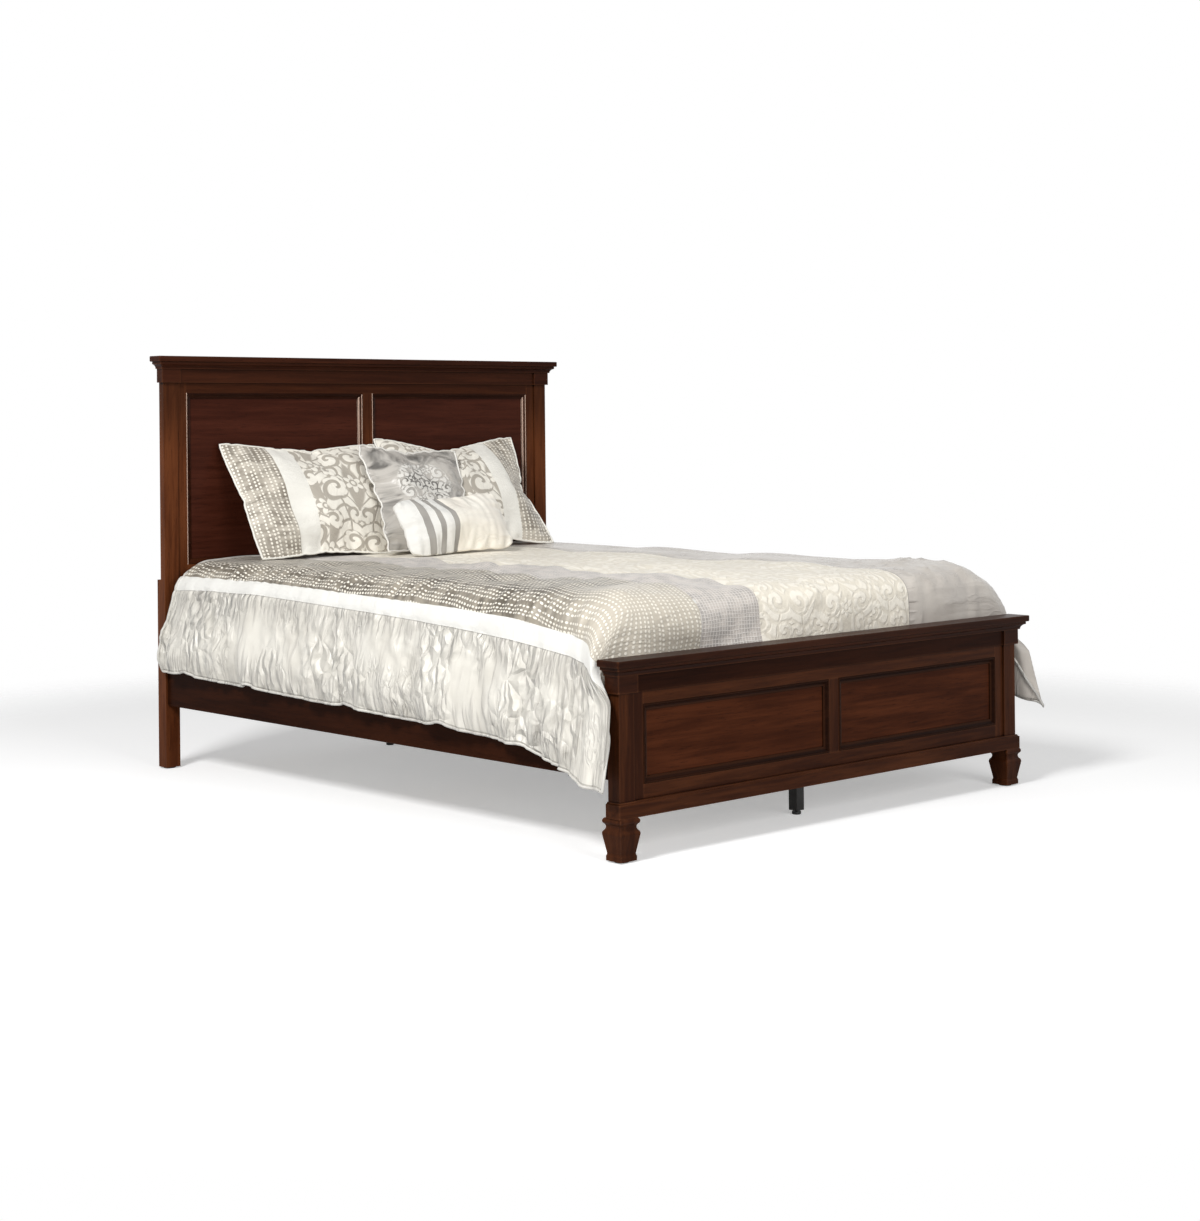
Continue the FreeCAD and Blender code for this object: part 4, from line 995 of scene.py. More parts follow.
def apply(piece: bpy.types.Object, kind: str, **settings: Any) -> None:
    """Add a modifier and apply it.

    Args:
        piece: The piece that gets it.
        kind: The modifier's type.
        settings: Its properties.
    """
    take(piece)
    modifier = piece.modifiers.new(kind.lower(), kind)
    for name, setting in settings.items():
        setattr(modifier, name, setting)
    bpy.ops.object.modifier_apply(modifier=modifier.name)


def points_of(piece: bpy.types.Object) -> np.ndarray:
    """Places of the piece's vertices.

    Args:
        piece: The piece.

    Returns:
        One row for each vertex.
    """
    found = np.empty(len(piece.data.vertices) * 3)
    piece.data.vertices.foreach_get("co", found)
    return found.reshape(-1, 3)


def corners_of(piece: bpy.types.Object) -> np.ndarray:
    """Vertices at the corners of the piece's faces.

    Args:
        piece: The piece.

    Returns:
        The vertex number of each corner.
    """
    corners = np.empty(len(piece.data.loops), dtype=np.int64)
    piece.data.loops.foreach_get("vertex_index", corners)
    return corners


def move_points(piece: bpy.types.Object, points: np.ndarray) -> None:
    """Give the piece's vertices new places."""
    piece.data.vertices.foreach_set("co", points.ravel())
    piece.data.update()


def smooth(piece: bpy.types.Object) -> None:
    """Shade the whole piece smooth."""
    take(piece)
    bpy.ops.object.shade_smooth()


def grid(name: str, columns: int, rows: int) -> bpy.types.Object:
    """A flat grid one metre wide, at the origin.

    Args:
        name: The piece's name.
        columns: Number of faces across.
        rows: Number of faces along.

    Returns:
        The piece.
    """
    deselect()
    bpy.ops.mesh.primitive_grid_add(x_subdivisions=columns, y_subdivisions=rows, size=1.0)
    piece = bpy.context.object
    piece.name = name
    return piece


def lay_flat_map(piece: bpy.types.Object, flat: np.ndarray) -> None:
    """Give the piece a UV map of the cloth's flat places, in metres.

    Args:
        piece: The piece.
        flat: The flat place of each vertex.
    """
    while piece.data.uv_layers:
        piece.data.uv_layers.remove(piece.data.uv_layers[0])
    layer = piece.data.uv_layers.new(name="flat")
    layer.data.foreach_set("uv", flat[corners_of(piece)].ravel())


def dress_bands(piece: bpy.types.Object, places: np.ndarray, starts: list[float]) -> np.ndarray:
    """Give each four-cornered face the material of the band that its middle lies in.

    Args:
        piece: The piece, with one material for each band.
        places: Place of each vertex across the bands.
        starts: Where each band after the first starts.

    Returns:
        The number of each face's band.
    """
    middles = places[corners_of(piece)].reshape(-1, 4).mean(axis=1)
    numbers = np.searchsorted(starts, middles)
    piece.data.polygons.foreach_set("material_index", numbers)
    return numbers


def welt(name: str, line: np.ndarray, radius: float, closed: bool) -> bpy.types.Object:
    """A thin round welt along a line of points.

    Args:
        name: The piece's name.
        line: The points.
        radius: Radius of the welt.
        closed: Whether the line is a ring.

    Returns:
        The piece.
    """
    curve = bpy.data.curves.new(name, "CURVE")
    curve.dimensions = "3D"
    curve.bevel_depth = radius
    curve.bevel_resolution = 1
    spline = curve.splines.new("POLY")
    spline.points.add(len(line) - 1)
    spline.points.foreach_set("co", np.column_stack([line, np.ones(len(line))]).ravel())
    spline.use_cyclic_u = closed
    piece = bpy.data.objects.new(name, curve)
    bpy.context.scene.collection.objects.link(piece)
    take(piece)
    bpy.ops.object.convert(target="MESH")
    piece = bpy.context.object
    lay_flat_map(piece, points_of(piece)[:, :2])
    smooth(piece)
    return piece


def hand_over(piece: bpy.types.Object, slot: str, *nodes: str) -> None:
    """Let a piece ride on the bed in place of CAD nodes.

    Args:
        piece: The piece.
        slot: Not used.
        nodes: The nodes that it stands for.
    """
    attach(piece, BODY)
    if nodes:
        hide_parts(*nodes)
    LOG.info("%s: %d faces", piece.name, len(piece.data.polygons))


@dataclass
class Frame:
    """The wooden frame and its fittings, dressed on the CAD nodes."""

    nodes: dict[str, bpy.types.Object]

    # Painted shade: the head's stain darkens towards the top.
    HEAD_CASE: ClassVar[StainedWood] = StainedWood((0.062, 0.0155, 0.0048), (0.142, 0.0430, 0.0145),
                                                   painted_top_shade=0.5)
    # Painted shade: the foot's stain is a darker copy of the head's, as the footboard gets less
    # light.
    FOOT_CASE: ClassVar[StainedWood] = StainedWood((0.026, 0.0066, 0.0022), (0.072, 0.0216, 0.0072))
    # Painted shade: the rails' stain is darker still, for the comforter that hangs over them.
    RAIL: ClassVar[StainedWood] = StainedWood((0.013, 0.0034, 0.0013), (0.030, 0.0084, 0.0032),
                                              shine=0.02)
    STAINS: ClassVar[dict[str, tuple[StainedWood, Grain]]] = {
        "head_upright": (HEAD_CASE, Grain.UPRIGHT),
        "foot_upright": (FOOT_CASE, Grain.UPRIGHT),
        "rail": (RAIL, Grain.ALONG),
    }
    ACROSS: ClassVar[dict[str, StainedWood]] = {
        "head_across": HEAD_CASE,
        "foot_across": FOOT_CASE,
        # Painted shade: crowns, caps, capitals and friezes are darker copies of the stain, as these
        # tops and recesses get less light; the crowns' lighter edges are partly a painted highlight.
        "head_crown": StainedWood((0.022, 0.0056, 0.0024), (0.052, 0.0142, 0.0062), wear_and_highlight=0.3),
        "foot_crown": StainedWood((0.0135, 0.0035, 0.0014), (0.036, 0.0102, 0.0041), wear_and_highlight=0.3),
        "head_frieze": StainedWood((0.026, 0.0068, 0.0027), (0.052, 0.0148, 0.0061)),
        "foot_frieze": StainedWood((0.010, 0.0026, 0.0011), (0.025, 0.0070, 0.0028), shine=0.03),
        # Painted highlight: the mouldings' left-facing edges turn pale, where they would glint.
        "head_moulding": StainedWood((0.020, 0.0054, 0.0022), (0.048, 0.0138, 0.0056),
                                     (0.95, 0.68, 0.54), roughness=0.25, wear_and_highlight=1.0, lit_edges=True),
        # Painted shade: the foot's mouldings are a darker copy, so that they read as dark lines.
        "foot_moulding": StainedWood((0.008, 0.0022, 0.0010), (0.020, 0.0058, 0.0024),
                                     roughness=0.3, shine=0.03, wear_and_highlight=0.1),
        "head_panel": StainedWood((0.037, 0.0086, 0.0043), (0.066, 0.0172, 0.0092)),
        "foot_panel": StainedWood((0.036, 0.0088, 0.0030), (0.082, 0.0222, 0.0080), shine=0.03),
    }
    COATS: ClassVar[dict[str, tuple[str, Coated]]] = {
        "black": ("black_paint", Coated((0.012, 0.011, 0.010), (0.02, 0.018, 0.016), 0.42)),
        "plastic": ("moulded_plastic", Coated((0.016, 0.016, 0.016), (0.026, 0.026, 0.026), 0.55)),
        "steel": ("coated_steel", Coated((0.02, 0.02, 0.021), (0.035, 0.034, 0.033), 0.45, 0.6)),
        "zinc": ("zinc_plate", Coated((0.55, 0.56, 0.58), (0.42, 0.43, 0.46), 0.35, 1.0, 90.0)),
    }
    FINISH_BY_NAME: ClassVar[dict[str, str]] = {
        "side_rail_left": "rail", "side_rail_right": "rail",
        "headboard_frieze": "head_frieze", "footboard_frieze": "foot_frieze",
        "headboard_panel_mouldings": "head_moulding", "footboard_panel_mouldings": "foot_moulding",
        "floor_glides": "plastic", "rail_hook_plates": "steel", "post_slot_plates": "steel",
        "rail_screws": "zinc", "slat_screws": "zinc", "leg_bolts": "zinc",
        "leveller_sleeves": "zinc"}
    FINISH_BY_START: ClassVar[dict[str, str]] = {
        "rail_cleat": "cleat", "slat_": "slat", "centre_leg": "black", "leveller_": "plastic"}
    UPRIGHT_WORDS: ClassVar[tuple[str, ...]] = ("post", "leg_", "stiles", "mullion", "capitals",
                                                "foot_left", "foot_right")

    def finishes(self) -> dict[str, bpy.types.Material]:
        """Make all the frame's materials.

        Returns:
            The materials by a short name.
        """
        stains = dict(self.STAINS)
        stains.update({name: (wood, Grain.ACROSS) for name, wood in self.ACROSS.items()})
        made = {name: wood.material(f"cherry_{name}", grain)
                for name, (wood, grain) in stains.items()}
        made["slat"] = SawnWood().material("sawn_across", Grain.ACROSS)
        made["cleat"] = SawnWood().material("sawn_along", Grain.ALONG)
        for name, (label, coat) in self.COATS.items():
            made[name] = coat.material(label)
        return made

    def finish_of(self, node: str) -> str:
        """Choose a node's finish.

        Args:
            node: The node's name.

        Returns:
            The short name of its finish.
        """
        if node in self.FINISH_BY_NAME:
            return self.FINISH_BY_NAME[node]
        for start, finish in self.FINISH_BY_START.items():
            if node.startswith(start):
                return finish
        board = "foot" if node.startswith("foot") else "head"
        if node.endswith(("_panel_left", "_panel_right")):
            return f"{board}_panel"
        if node.endswith(("_crown_moulding", "_cap", "_capitals")):
            return f"{board}_crown"
        upright = any(word in node for word in self.UPRIGHT_WORDS)
        return f"{board}_upright" if upright else f"{board}_across"

    def dress(self) -> None:
        """Put each node's finish in its material slots."""
        finishes = self.finishes()
        for name, node in self.nodes.items():
            material = finishes[self.finish_of(name)]
            node.data.materials.clear()
            node.data.materials.append(material)
        LOG.info("dressed %d CAD nodes", len(self.nodes))


@dataclass(frozen=True)
class Band:
    """A lengthwise band of the comforter, from a flat place across it to the next band."""

    left: float
    columns: int
    finish: Cloth
    name: str


@dataclass
class Lie:
    """How each point of the comforter lies, as arrays over its vertices.

    across and along are its flat place, over and past how far it lies beyond the mattress's side
    and foot, reach its distance from the corner, and angle its way round that corner.
    """

    across: np.ndarray
    along: np.ndarray
    over: np.ndarray
    past: np.ndarray
    reach: np.ndarray
    angle: np.ndarray
    places: np.ndarray


@dataclass(frozen=True)
class FootCorner:
    """How the comforter hangs round a foot corner: out past the side, then folded back."""

    side_round: float
    side_lean: float
    outer_angle: float = math.radians(31.7)
    inner_angle: float = math.radians(60.0)
    side_arc: float = 0.188
    fold_levels: Span = (0.475, 0.39)
    hang_levels: Span = (0.47, 0.18)
    flare_left: float = 0.028
    flare_right: float = 0.105
    flare_power: float = 1.2
    side_out: float = 0.170
    foot_out: float = 0.071
    fold_past: float = 0.067
    fold_back: float = 0.027
    back_share: float = 0.4
    fold_round: float = 0.009
    start_round: float = 0.03
    loose_reach: Span = (0.09, 0.21)
    loose_angle: float = 0.06
    wave_before: float = 0.24
    wave_radius: float = 0.2
    wave_levels: Span = (0.57, 0.33)
    wave_start: float = 0.1
    wave_end: float = 0.15
    wave_lengths: Span = (0.074, 0.041)
    wave_slant: float = 5.0
    wave_phase: float = 1.3
    wave_height: float = 0.0062

    def plan(self, angle: np.ndarray, reach: np.ndarray, level: np.ndarray, out: np.ndarray,
             side: np.ndarray) -> tuple[np.ndarray, np.ndarray]:
        """How far the cloth stands off its rounded corner, seen from above.

        Args:
            angle: 0 on the side and a right angle at the foot.
            reach: Length of cloth from the corner.
            level: Height above the floor.
            out: Distance that a plain edge would stand off.
            side: -1 on the left and 1 on the right.

        Returns:
            The distances across and along.
        """
        flare = np.where(side < 0, self.flare_left, self.flare_right)
        fold_x = self.side_out + flare * ramp(level, *self.hang_levels) ** self.flare_power
        fold_y = self.foot_out + self.fold_past * eased(ramp(level, *self.fold_levels))
        side_x = self.side_round + self.side_lean * np.maximum(reach - self.side_arc, 0.0)
        first = ramp(angle, 0.0, self.outer_angle)
        second = ramp(angle, self.outer_angle, self.inner_angle)
        third = ramp(angle, self.inner_angle, RIGHT_ANGLE)
        flap_x = side_x + (fold_x - side_x) * eased(first)
        flap_x = flap_x - self.fold_back * eased(ramp(second, 0.0, self.back_share))
        flap_x = flap_x - (fold_x - self.fold_back) * third
        outer_y = fold_y * angle / self.outer_angle
        inner_share = (angle - self.outer_angle) / (self.inner_angle - self.outer_angle)
        inner_y = np.maximum(fold_y + (self.foot_out - fold_y) * inner_share, self.foot_out)
        radius = self.fold_round
        flap_y = -radius * np.logaddexp(-outer_y / radius, -inner_y / radius)
        flap_y = flap_y + radius * math.log(2) * np.exp(-outer_y / self.start_round)
        loose = ramp(reach, *self.loose_reach) * ramp(angle, 0.0, self.loose_angle)
        loose = loose * (angle < RIGHT_ANGLE - 1e-6)
        plain_x, plain_y = out * np.cos(angle), out * np.sin(angle)
        return plain_x + (flap_x - plain_x) * loose, plain_y + (flap_y - plain_y) * loose

    def folds(self, lie: Lie, foot: float) -> np.ndarray:
        """Height of the hanging folds about the corner.

        Args:
            lie: How the cloth lies.
            foot: Flat place along where the mattress ends.

        Returns:
            The heights, outwards.
        """
        way = np.maximum(np.minimum(lie.along, foot) - foot + self.wave_before, 0.0)
        way = way + lie.angle * self.wave_radius
        shown = ramp(way, 0.0, self.wave_start) * ramp(lie.places[:, 2], *self.wave_levels)
        shown = shown * ramp(lie.over, 0.0, self.wave_start)
        shown = shown * ramp(lie.angle, self.outer_angle, self.outer_angle - self.wave_end)
        long_wave, short_wave = self.wave_lengths
        wave = np.sin(way * (FULL_TURN / long_wave) + self.wave_slant * lie.reach)
        wave = wave + 0.5 * np.sin(way * (FULL_TURN / short_wave) + self.wave_phase)
        return self.wave_height * shown * wave


@dataclass(frozen=True)
class Wrinkles:
    """Folds, creases, gathers and seams of the comforter, over its smooth drape."""

    tufts: tuple[float, ...] = (0.16, 0.52, 0.99, 1.44, 1.78)
    hanging: Span = (0.80, 1.17)
    folds: Ripples = Ripples(0.34, 0.12, RIGHT_ANGLE, 0.16, 11)
    fold_height: float = 0.0065
    fold_lift: float = 0.014
    satin: Span = (0.89, 0.92)
    crush: Ripples = Ripples(0.11, 0.035, RIGHT_ANGLE - 0.25, 0.38, 5, 60)
    crush_height: float = 0.0032
    creases: Ripples = Ripples(0.07, 0.028, RIGHT_ANGLE + 0.3, 0.5, 8, 60)
    crease_height: float = 0.0022
    patches: Ripples = Ripples(0.5, 0.2, 0.4, 1.2, 31)
    on_top: Span = (0.82, 0.66)
    before_pillows: Span = (0.42, 0.57)
    under_pillows: float = 0.25
    swell: Ripples = Ripples(0.6, 0.22, 0.9, 0.9, 3)
    swell_height: float = 0.0046
    rows: Ripples = Ripples(0.24, 0.10, RIGHT_ANGLE, 0.35, 21)
    row_height: float = 0.0040
    right_satin: Span = (0.42, 0.47)
    right_crush: float = 0.0024
    pleats: Ripples = Ripples(0.20, 0.09, 0.0, 0.22, 23)
    pleat_sharpness: float = 1.6
    pleat_height: float = 0.0075
    pleated: Span = (1.5, 1.85)
    gathers: Ripples = Ripples(0.07, 0.03, RIGHT_ANGLE, 0.12, 15)
    gathered_at: float = -0.80
    gathered_to: float = -0.845
    gather_width: float = 0.05
    gather_height: float = 0.0036
    hem: Span = (1.07, 1.17)
    hem_turn: float = 0.014
    bay_length: float = 0.12
    bay_depth: float = 0.026
    bay_gather: float = 0.006
    seam_width: float = 0.007
    seam_depth: float = 0.0032
    calm_width: float = 0.05

    def from_tuft(self, along: np.ndarray) -> np.ndarray:
        """Distance along the hem to the nearest tuft that pulls it up."""
        return np.min([np.abs(along - tuft) for tuft in self.tufts], axis=0)

    def height(self, lie: Lie, seams: list[float]) -> np.ndarray:
        """Height of the wrinkles, which die away where the cloth turns round a foot corner.

        Args:
            lie: How the cloth lies.
            seams: Flat places of the seams across.

        Returns:
            The heights, outwards.
        """
        across, along = lie.across, lie.along
        hanging = ramp(np.abs(across), *self.hanging)
        folds = self.folds.height(across, along)
        crush = self.crush.height(across, along)
        height = hanging * (self.fold_height * folds + self.fold_lift)
        height += self.on_drop(across, along, crush) + self.above(across, along)
        height += self.on_right(across, along, crush * hanging) - self.along_hem(across, along)
        for seam in seams:
            height -= self.seam_depth * bell(across - seam, self.seam_width)
        calm = ramp(lie.past, 0.0, self.calm_width) * ramp(lie.over, 0.0, self.calm_width)
        return height * (1 - calm)

    def on_drop(self, across: np.ndarray, along: np.ndarray, crush: np.ndarray) -> np.ndarray:
        """Crush and sharp creases of the satin that hangs on the left, in patches.

        Args:
            across: Flat place across.
            along: Flat place along.
            crush: Height of the crush, about 1 at its crests.

        Returns:
            The heights.
        """
        satin = ramp(-across, *self.satin)
        patch = np.clip(0.6 + 0.4 * self.patches.height(across, along), 0, 1.2)
        crease = 0.6 - np.abs(self.creases.height(across, along))
        return satin * patch * (self.crush_height * crush + self.crease_height * crease)

    def above(self, across: np.ndarray, along: np.ndarray) -> np.ndarray:
        """Low swells on top of the bed, and the gathers above the stripe.

        Args:
            across: Flat place across.
            along: Flat place along.

        Returns:
            The heights.
        """
        on_top = ramp(np.abs(across), *self.on_top)
        clear = self.under_pillows + (1 - self.under_pillows) * ramp(along, *self.before_pillows)
        rows = self.rows.height(across, along) * (across < 0.0)
        swell = self.swell.height(across, along)
        gathered = bell(across - self.gathered_at, self.gather_width) * (across > self.gathered_to)
        return (on_top * clear * (self.swell_height * swell + self.row_height * rows)
                + self.gather_height * self.gathers.height(across, along) * gathered)

    def on_right(self, across: np.ndarray, along: np.ndarray, crush: np.ndarray) -> np.ndarray:
        """Crush and pleats of the satin on the right, the pleats near the foot.

        Args:
            across: Flat place across.
            along: Flat place along.
            crush: Height of the crush where the cloth hangs.

        Returns:
            The heights.
        """
        pleats = np.abs(self.pleats.height(across, along))
        crest = np.maximum(1 - self.pleat_sharpness * pleats, 0.0) ** 2
        pleated = self.pleat_height * crest * ramp(along, *self.pleated)
        return ramp(across, *self.right_satin) * (self.right_crush * crush + pleated)

    def along_hem(self, across: np.ndarray, along: np.ndarray) -> np.ndarray:
        """How far the hem turns in, most in the bays between its tufts.

        Args:
            across: Flat place across.
            along: Flat place along.

        Returns:
            The depths.
        """
        bay = ramp(self.from_tuft(along), 0.0, self.bay_length)
        gathers = np.clip(self.gathers.height(across, along), -1.6, 0.6)
        depth = self.hem_turn + self.bay_depth * bay + self.bay_gather * gathers
        return ramp(np.abs(across), *self.hem) ** 2 * depth


@dataclass
class Comforter:
    """The comforter: draped over the mattress, tucked at the foot, loose at the corners.

    stripe_run gives, for shares of the way to the foot, how far round the cross section the upper
    and the lower edge of the white stripe lie.
    """

    top: float
    head: float
    shoulder: float = 0.692
    side_round: float = 0.12
    side_lean: float = 0.20
    foot_start: float = -0.94
    foot_round: float = 0.07
    tuck: float = 0.178
    hem_head: float = 0.323
    hem_foot: float = 0.270
    tuft_lift: float = 0.010
    tuft_width: float = 0.035
    shift: float = 0.0455
    shift_end: float = 0.6
    sag: float = 0.066
    sag_past: float = 0.12
    sag_width_before: float = 0.26
    sag_width_after: float = 0.16
    right_short: float = 0.035
    right_sag: float = 0.4
    head_reach: float = 0.16
    head_fall: float = 0.36
    head_back: float = 0.055
    head_back_from: Span = (0.5, 0.7)
    head_flare: float = 0.012
    thickness: float = 0.009
    welt_radius: float = 0.0042
    half_width: float = 1.17
    hem_stitch: float = 1.165
    stripe_top: float = 0.845
    stripe_low: float = 0.903
    dots_right: float = -0.447
    net_right: float = -0.228
    damask_right: float = 0.42
    bands: tuple[Band, ...] = (
        Band(-half_width, 52,
             Satin((0.79, 0.762, 0.69), (0.70, 0.67, 0.60), fine=34.0, streak=0.75, crumple=2.4,
                   seams=(-hem_stitch, -stripe_low), reach=0.085), "drop_satin"),
        Band(-stripe_low, 8, PlainWeave((0.92, 0.91, 0.865), (0.86, 0.84, 0.79)), "stripe"),
        Band(-stripe_top, 40, Dotted(), "dotted"),
        Band(dots_right, 20, Netted(), "net"),
        Band(net_right, 40,
             Damask((0.79, 0.735, 0.625), (0.90, 0.85, 0.745), 0.24, 0.29, 0.0014, 0.005, 2.4),
             "damask"),
        # The grey satin's pale crease colour paints highlights along its creases.
        Band(damask_right, 46,
             Satin((0.60, 0.553, 0.497), (0.505, 0.463, 0.417), 0.26, 0.013, 17.0,
                   (damask_right, hem_stitch), crease=(0.80, 0.77, 0.73), streak=0.2, scuff=0.3),
             "grey_satin"),
    )
    stripe_run: tuple[tuple[float, float, float], ...] = (
        (0.0, 0.7995, 0.850), (0.1, 0.7985, 0.8425), (0.26, 0.797, 0.8415), (0.43, 0.807, 0.853),
        (0.58, 0.8165, 0.864), (0.72, 0.825, 0.878), (0.85, 0.839, 0.8955), (0.97, 0.868, 0.921),
        (1.0, 0.878, 0.931))
    rim: Satin = Satin((0.66, 0.64, 0.59), (0.5, 0.48, 0.45))
    turn: float = 0.045
    blunt: float = 2.4
    folded_loft: float = 0.14
    loft_before: float = 0.2
    loft_turn: float = 0.12
    loft_edge: float = 0.04
    hung_from: float = 0.1
    crease_radius: float = 0.3
    rows_on_top: int = 190
    rows_at_foot: int = 34
    corner: FootCorner = FootCorner(side_round, side_lean)
    wrinkles: Wrinkles = Wrinkles()

    @property
    def flat_top(self) -> float:
        """Flat length from the head to where the foot's rounding starts."""
        return self.head - self.foot_start

    @property
    def length(self) -> float:
        """Flat length of the whole comforter."""
        return self.flat_top + self.foot_round * RIGHT_ANGLE + self.tuck

    @property
    def columns(self) -> int:
        """Number of faces across."""
        return sum(band.columns for band in self.bands)

    @property
    def rows(self) -> int:
        """Number of faces along."""
        return self.rows_on_top + self.rows_at_foot

    @property
    def seams(self) -> list[float]:
        """Flat places of the seams between the bands."""
        return [band.left for band in self.bands[1:]]

    def flat_places(self, piece: bpy.types.Object) -> tuple[np.ndarray, np.ndarray]:
        """Flat place of each vertex of the grid.

        Args:
            piece: The grid.

        Returns:
            The places across, from the left, and along, from the head.
        """
        points = points_of(piece)
        marks = np.cumsum([0] + [band.columns for band in self.bands])
        edges = [-self.half_width, *self.seams, self.half_width]
        across = np.interp((points[:, 0] + 0.5) * self.columns, marks, edges)
        along = np.interp((0.5 - points[:, 1]) * self.rows, [0, self.rows_on_top, self.rows],
                          [0.0, self.flat_top, self.length])
        return across, along

    def path_length(self, across: np.ndarray, along: np.ndarray) -> np.ndarray:
        """Length along the cross section from its middle to a flat place.

        Args:
            across: Flat place across.
            along: Flat place along.

        Returns:
            The length on that place's own side.
        """
        share = np.clip(along / self.flat_top, 0.0, 1.0)
        drift = self.shift * (2 * share - 1)
        hem = self.hem_head + (self.hem_foot - self.hem_head) * share
        hem = hem + self.tuft_lift * bell(self.wrinkles.from_tuft(along), self.tuft_width)
        from_corner = along - self.flat_top - self.sag_past
        sag_width = np.where(from_corner < 0, self.sag_width_before, self.sag_width_after)
        sag = self.sag * bell(from_corner, sag_width)
        arc = self.side_round * RIGHT_ANGLE
        hem_path = self.shoulder + arc + (self.top - self.side_round - hem) + sag
        shares, tops, lows = zip(*self.stripe_run)
        left_path = self.path_through(
            np.maximum(-across, 0.0), (0.0, self.stripe_top, self.stripe_low, self.half_width),
            (0.0, np.interp(share, shares, tops), np.interp(share, shares, lows), hem_path))
        right_path = self.path_through(
            np.maximum(across, 0.0), (0.0, self.shift_end, self.half_width),
            (0.0, self.shift_end - drift, hem_path - self.right_short - self.right_sag * sag))
        return np.where(across < 0, left_path, right_path)

    @staticmethod
    def path_through(flat: np.ndarray, marks: tuple[float, ...],
                     lengths: tuple[Any, ...]) -> np.ndarray:
        """Length of a path that is known at some flat places, and straight between them.

        Args:
            flat: Flat places, from the middle outwards.
            marks: The flat places where the length is known.
            lengths: The length at each of these.

        Returns:
            The length at each flat place.
        """
        total = np.zeros_like(flat)
        for start, end, near, far in zip(marks, marks[1:], lengths, lengths[1:]):
            total += ramp(flat, start, end) * (far - near)
        return total

    def drape(self, across: np.ndarray, along: np.ndarray) -> Lie:
        """Lay the cloth over the mattress, without its wrinkles.

        Args:
            across: Flat place across.
            along: Flat place along.

        Returns:
            How the cloth lies.
        """
        side = np.where(across < 0, -1.0, 1.0)
        path = self.path_length(across, along)
        over = np.maximum(path - self.shoulder, 0.0)
        past = self.turn * np.logaddexp(0.0, (along - self.flat_top) / self.turn)
        reach = (over ** self.blunt + past ** self.blunt) ** (1 / self.blunt)
        angle = np.where(reach < TINY, 0.0, np.arctan2(past, np.maximum(over, TINY)))
        bend = self.side_round + (self.foot_round - self.side_round) * np.sin(angle) ** 2
        arc = bend * RIGHT_ANGLE
        turned = np.minimum(reach, arc) / bend
        straight = np.maximum(reach - arc, 0.0)
        out = bend * np.sin(turned) + self.side_lean * straight * np.cos(angle)
        level = self.top - bend * (1 - np.cos(turned)) - straight
        plan_x, plan_y = self.corner.plan(angle, reach, level, out, side)
        x = side * (np.minimum(path, self.shoulder) + plan_x)
        y = self.head - (along - past) - plan_y
        at_head = np.exp(-along / self.head_reach)
        fallen = ramp(reach, 0.0, self.head_fall)
        y = y - self.head_back * at_head * ramp(path, *self.head_back_from) * (1 - fallen)
        x = x + side * self.head_flare * at_head * fallen ** 2
        return Lie(across, along, over, past, reach, angle, np.column_stack([x, y, level]))

    def crease_map(self, lie: Lie) -> np.ndarray:
        """Flat places for the satin, whose creases hang straight down round the corners.

        Args:
            lie: How the cloth lies.

        Returns:
            The flat place of each vertex.
        """
        hung = ramp(lie.over, 0.0, self.hung_from)
        round_corner = lie.angle * self.crease_radius - lie.past
        return np.column_stack([lie.across, lie.along + round_corner * hung])

    def build(self) -> None:
        """Make the comforter and its welted edge."""
        piece = grid("comforter_quilt", self.columns, self.rows)
        across, along = self.flat_places(piece)
        lie = self.drape(across, along)
        move_points(piece, lie.places)
        normals = np.empty(len(piece.data.vertices) * 3)
        piece.data.vertices.foreach_get("normal", normals)
        height = self.wrinkles.height(lie, self.seams) + self.corner.folds(lie, self.flat_top)
        raised = lie.places + normals.reshape(-1, 3) * height[:, None]
        move_points(piece, raised)
        lay_flat_map(piece, np.column_stack([across, along]))
        self.dress(piece, lie)
        edge = self.edge_line(across, along, raised)
        self.mark_loft(piece, lie)
        apply(piece, "SOLIDIFY", thickness=self.thickness, offset=-1.0, vertex_group="loft")
        piece.vertex_groups.clear()
        smooth(piece)
        rim = welt("comforter_welt", edge, self.welt_radius, True)
        rim.data.materials.append(self.rim.material("welt_satin"))
        hand_over(piece, "comforter", "comforter")
        hand_over(rim, "comforter")
        2 * self.half_width
        self.length

    def mark_loft(self, piece: bpy.types.Object, lie: Lie) -> None:
        """Mark how much of its filling the comforter keeps, little where a corner folds back.

        Args:
            piece: The comforter before it gets its thickness.
            lie: How the cloth lies.
        """
        start = self.corner.outer_angle - self.loft_before
        folded = ramp(lie.angle, start, start + self.loft_turn) * ramp(lie.over, 0.0, self.loft_edge)
        loft = 1 - (1 - self.folded_loft) * folded
        group = piece.vertex_groups.new(name="loft")
        for number, share in enumerate(loft):
            group.add([number], share, "REPLACE")

    def dress(self, piece: bpy.types.Object, lie: Lie) -> None:
        """Give each band its own finish, and the hanging satin its own flat places.

        Args:
            piece: The comforter before it gets its thickness.
            lie: How the cloth lies.
        """
        for band in self.bands:
            piece.data.materials.append(band.finish.material(f"comforter_{band.name}"))
        numbers = dress_bands(piece, lie.across, self.seams)
        corners = corners_of(piece)
        in_drop = np.repeat(numbers == 0, 4)
        plain = np.column_stack([lie.across, lie.along])[corners]
        places = np.where(in_drop[:, None], self.crease_map(lie)[corners], plain)
        piece.data.uv_layers["flat"].data.foreach_set("uv", places.ravel())

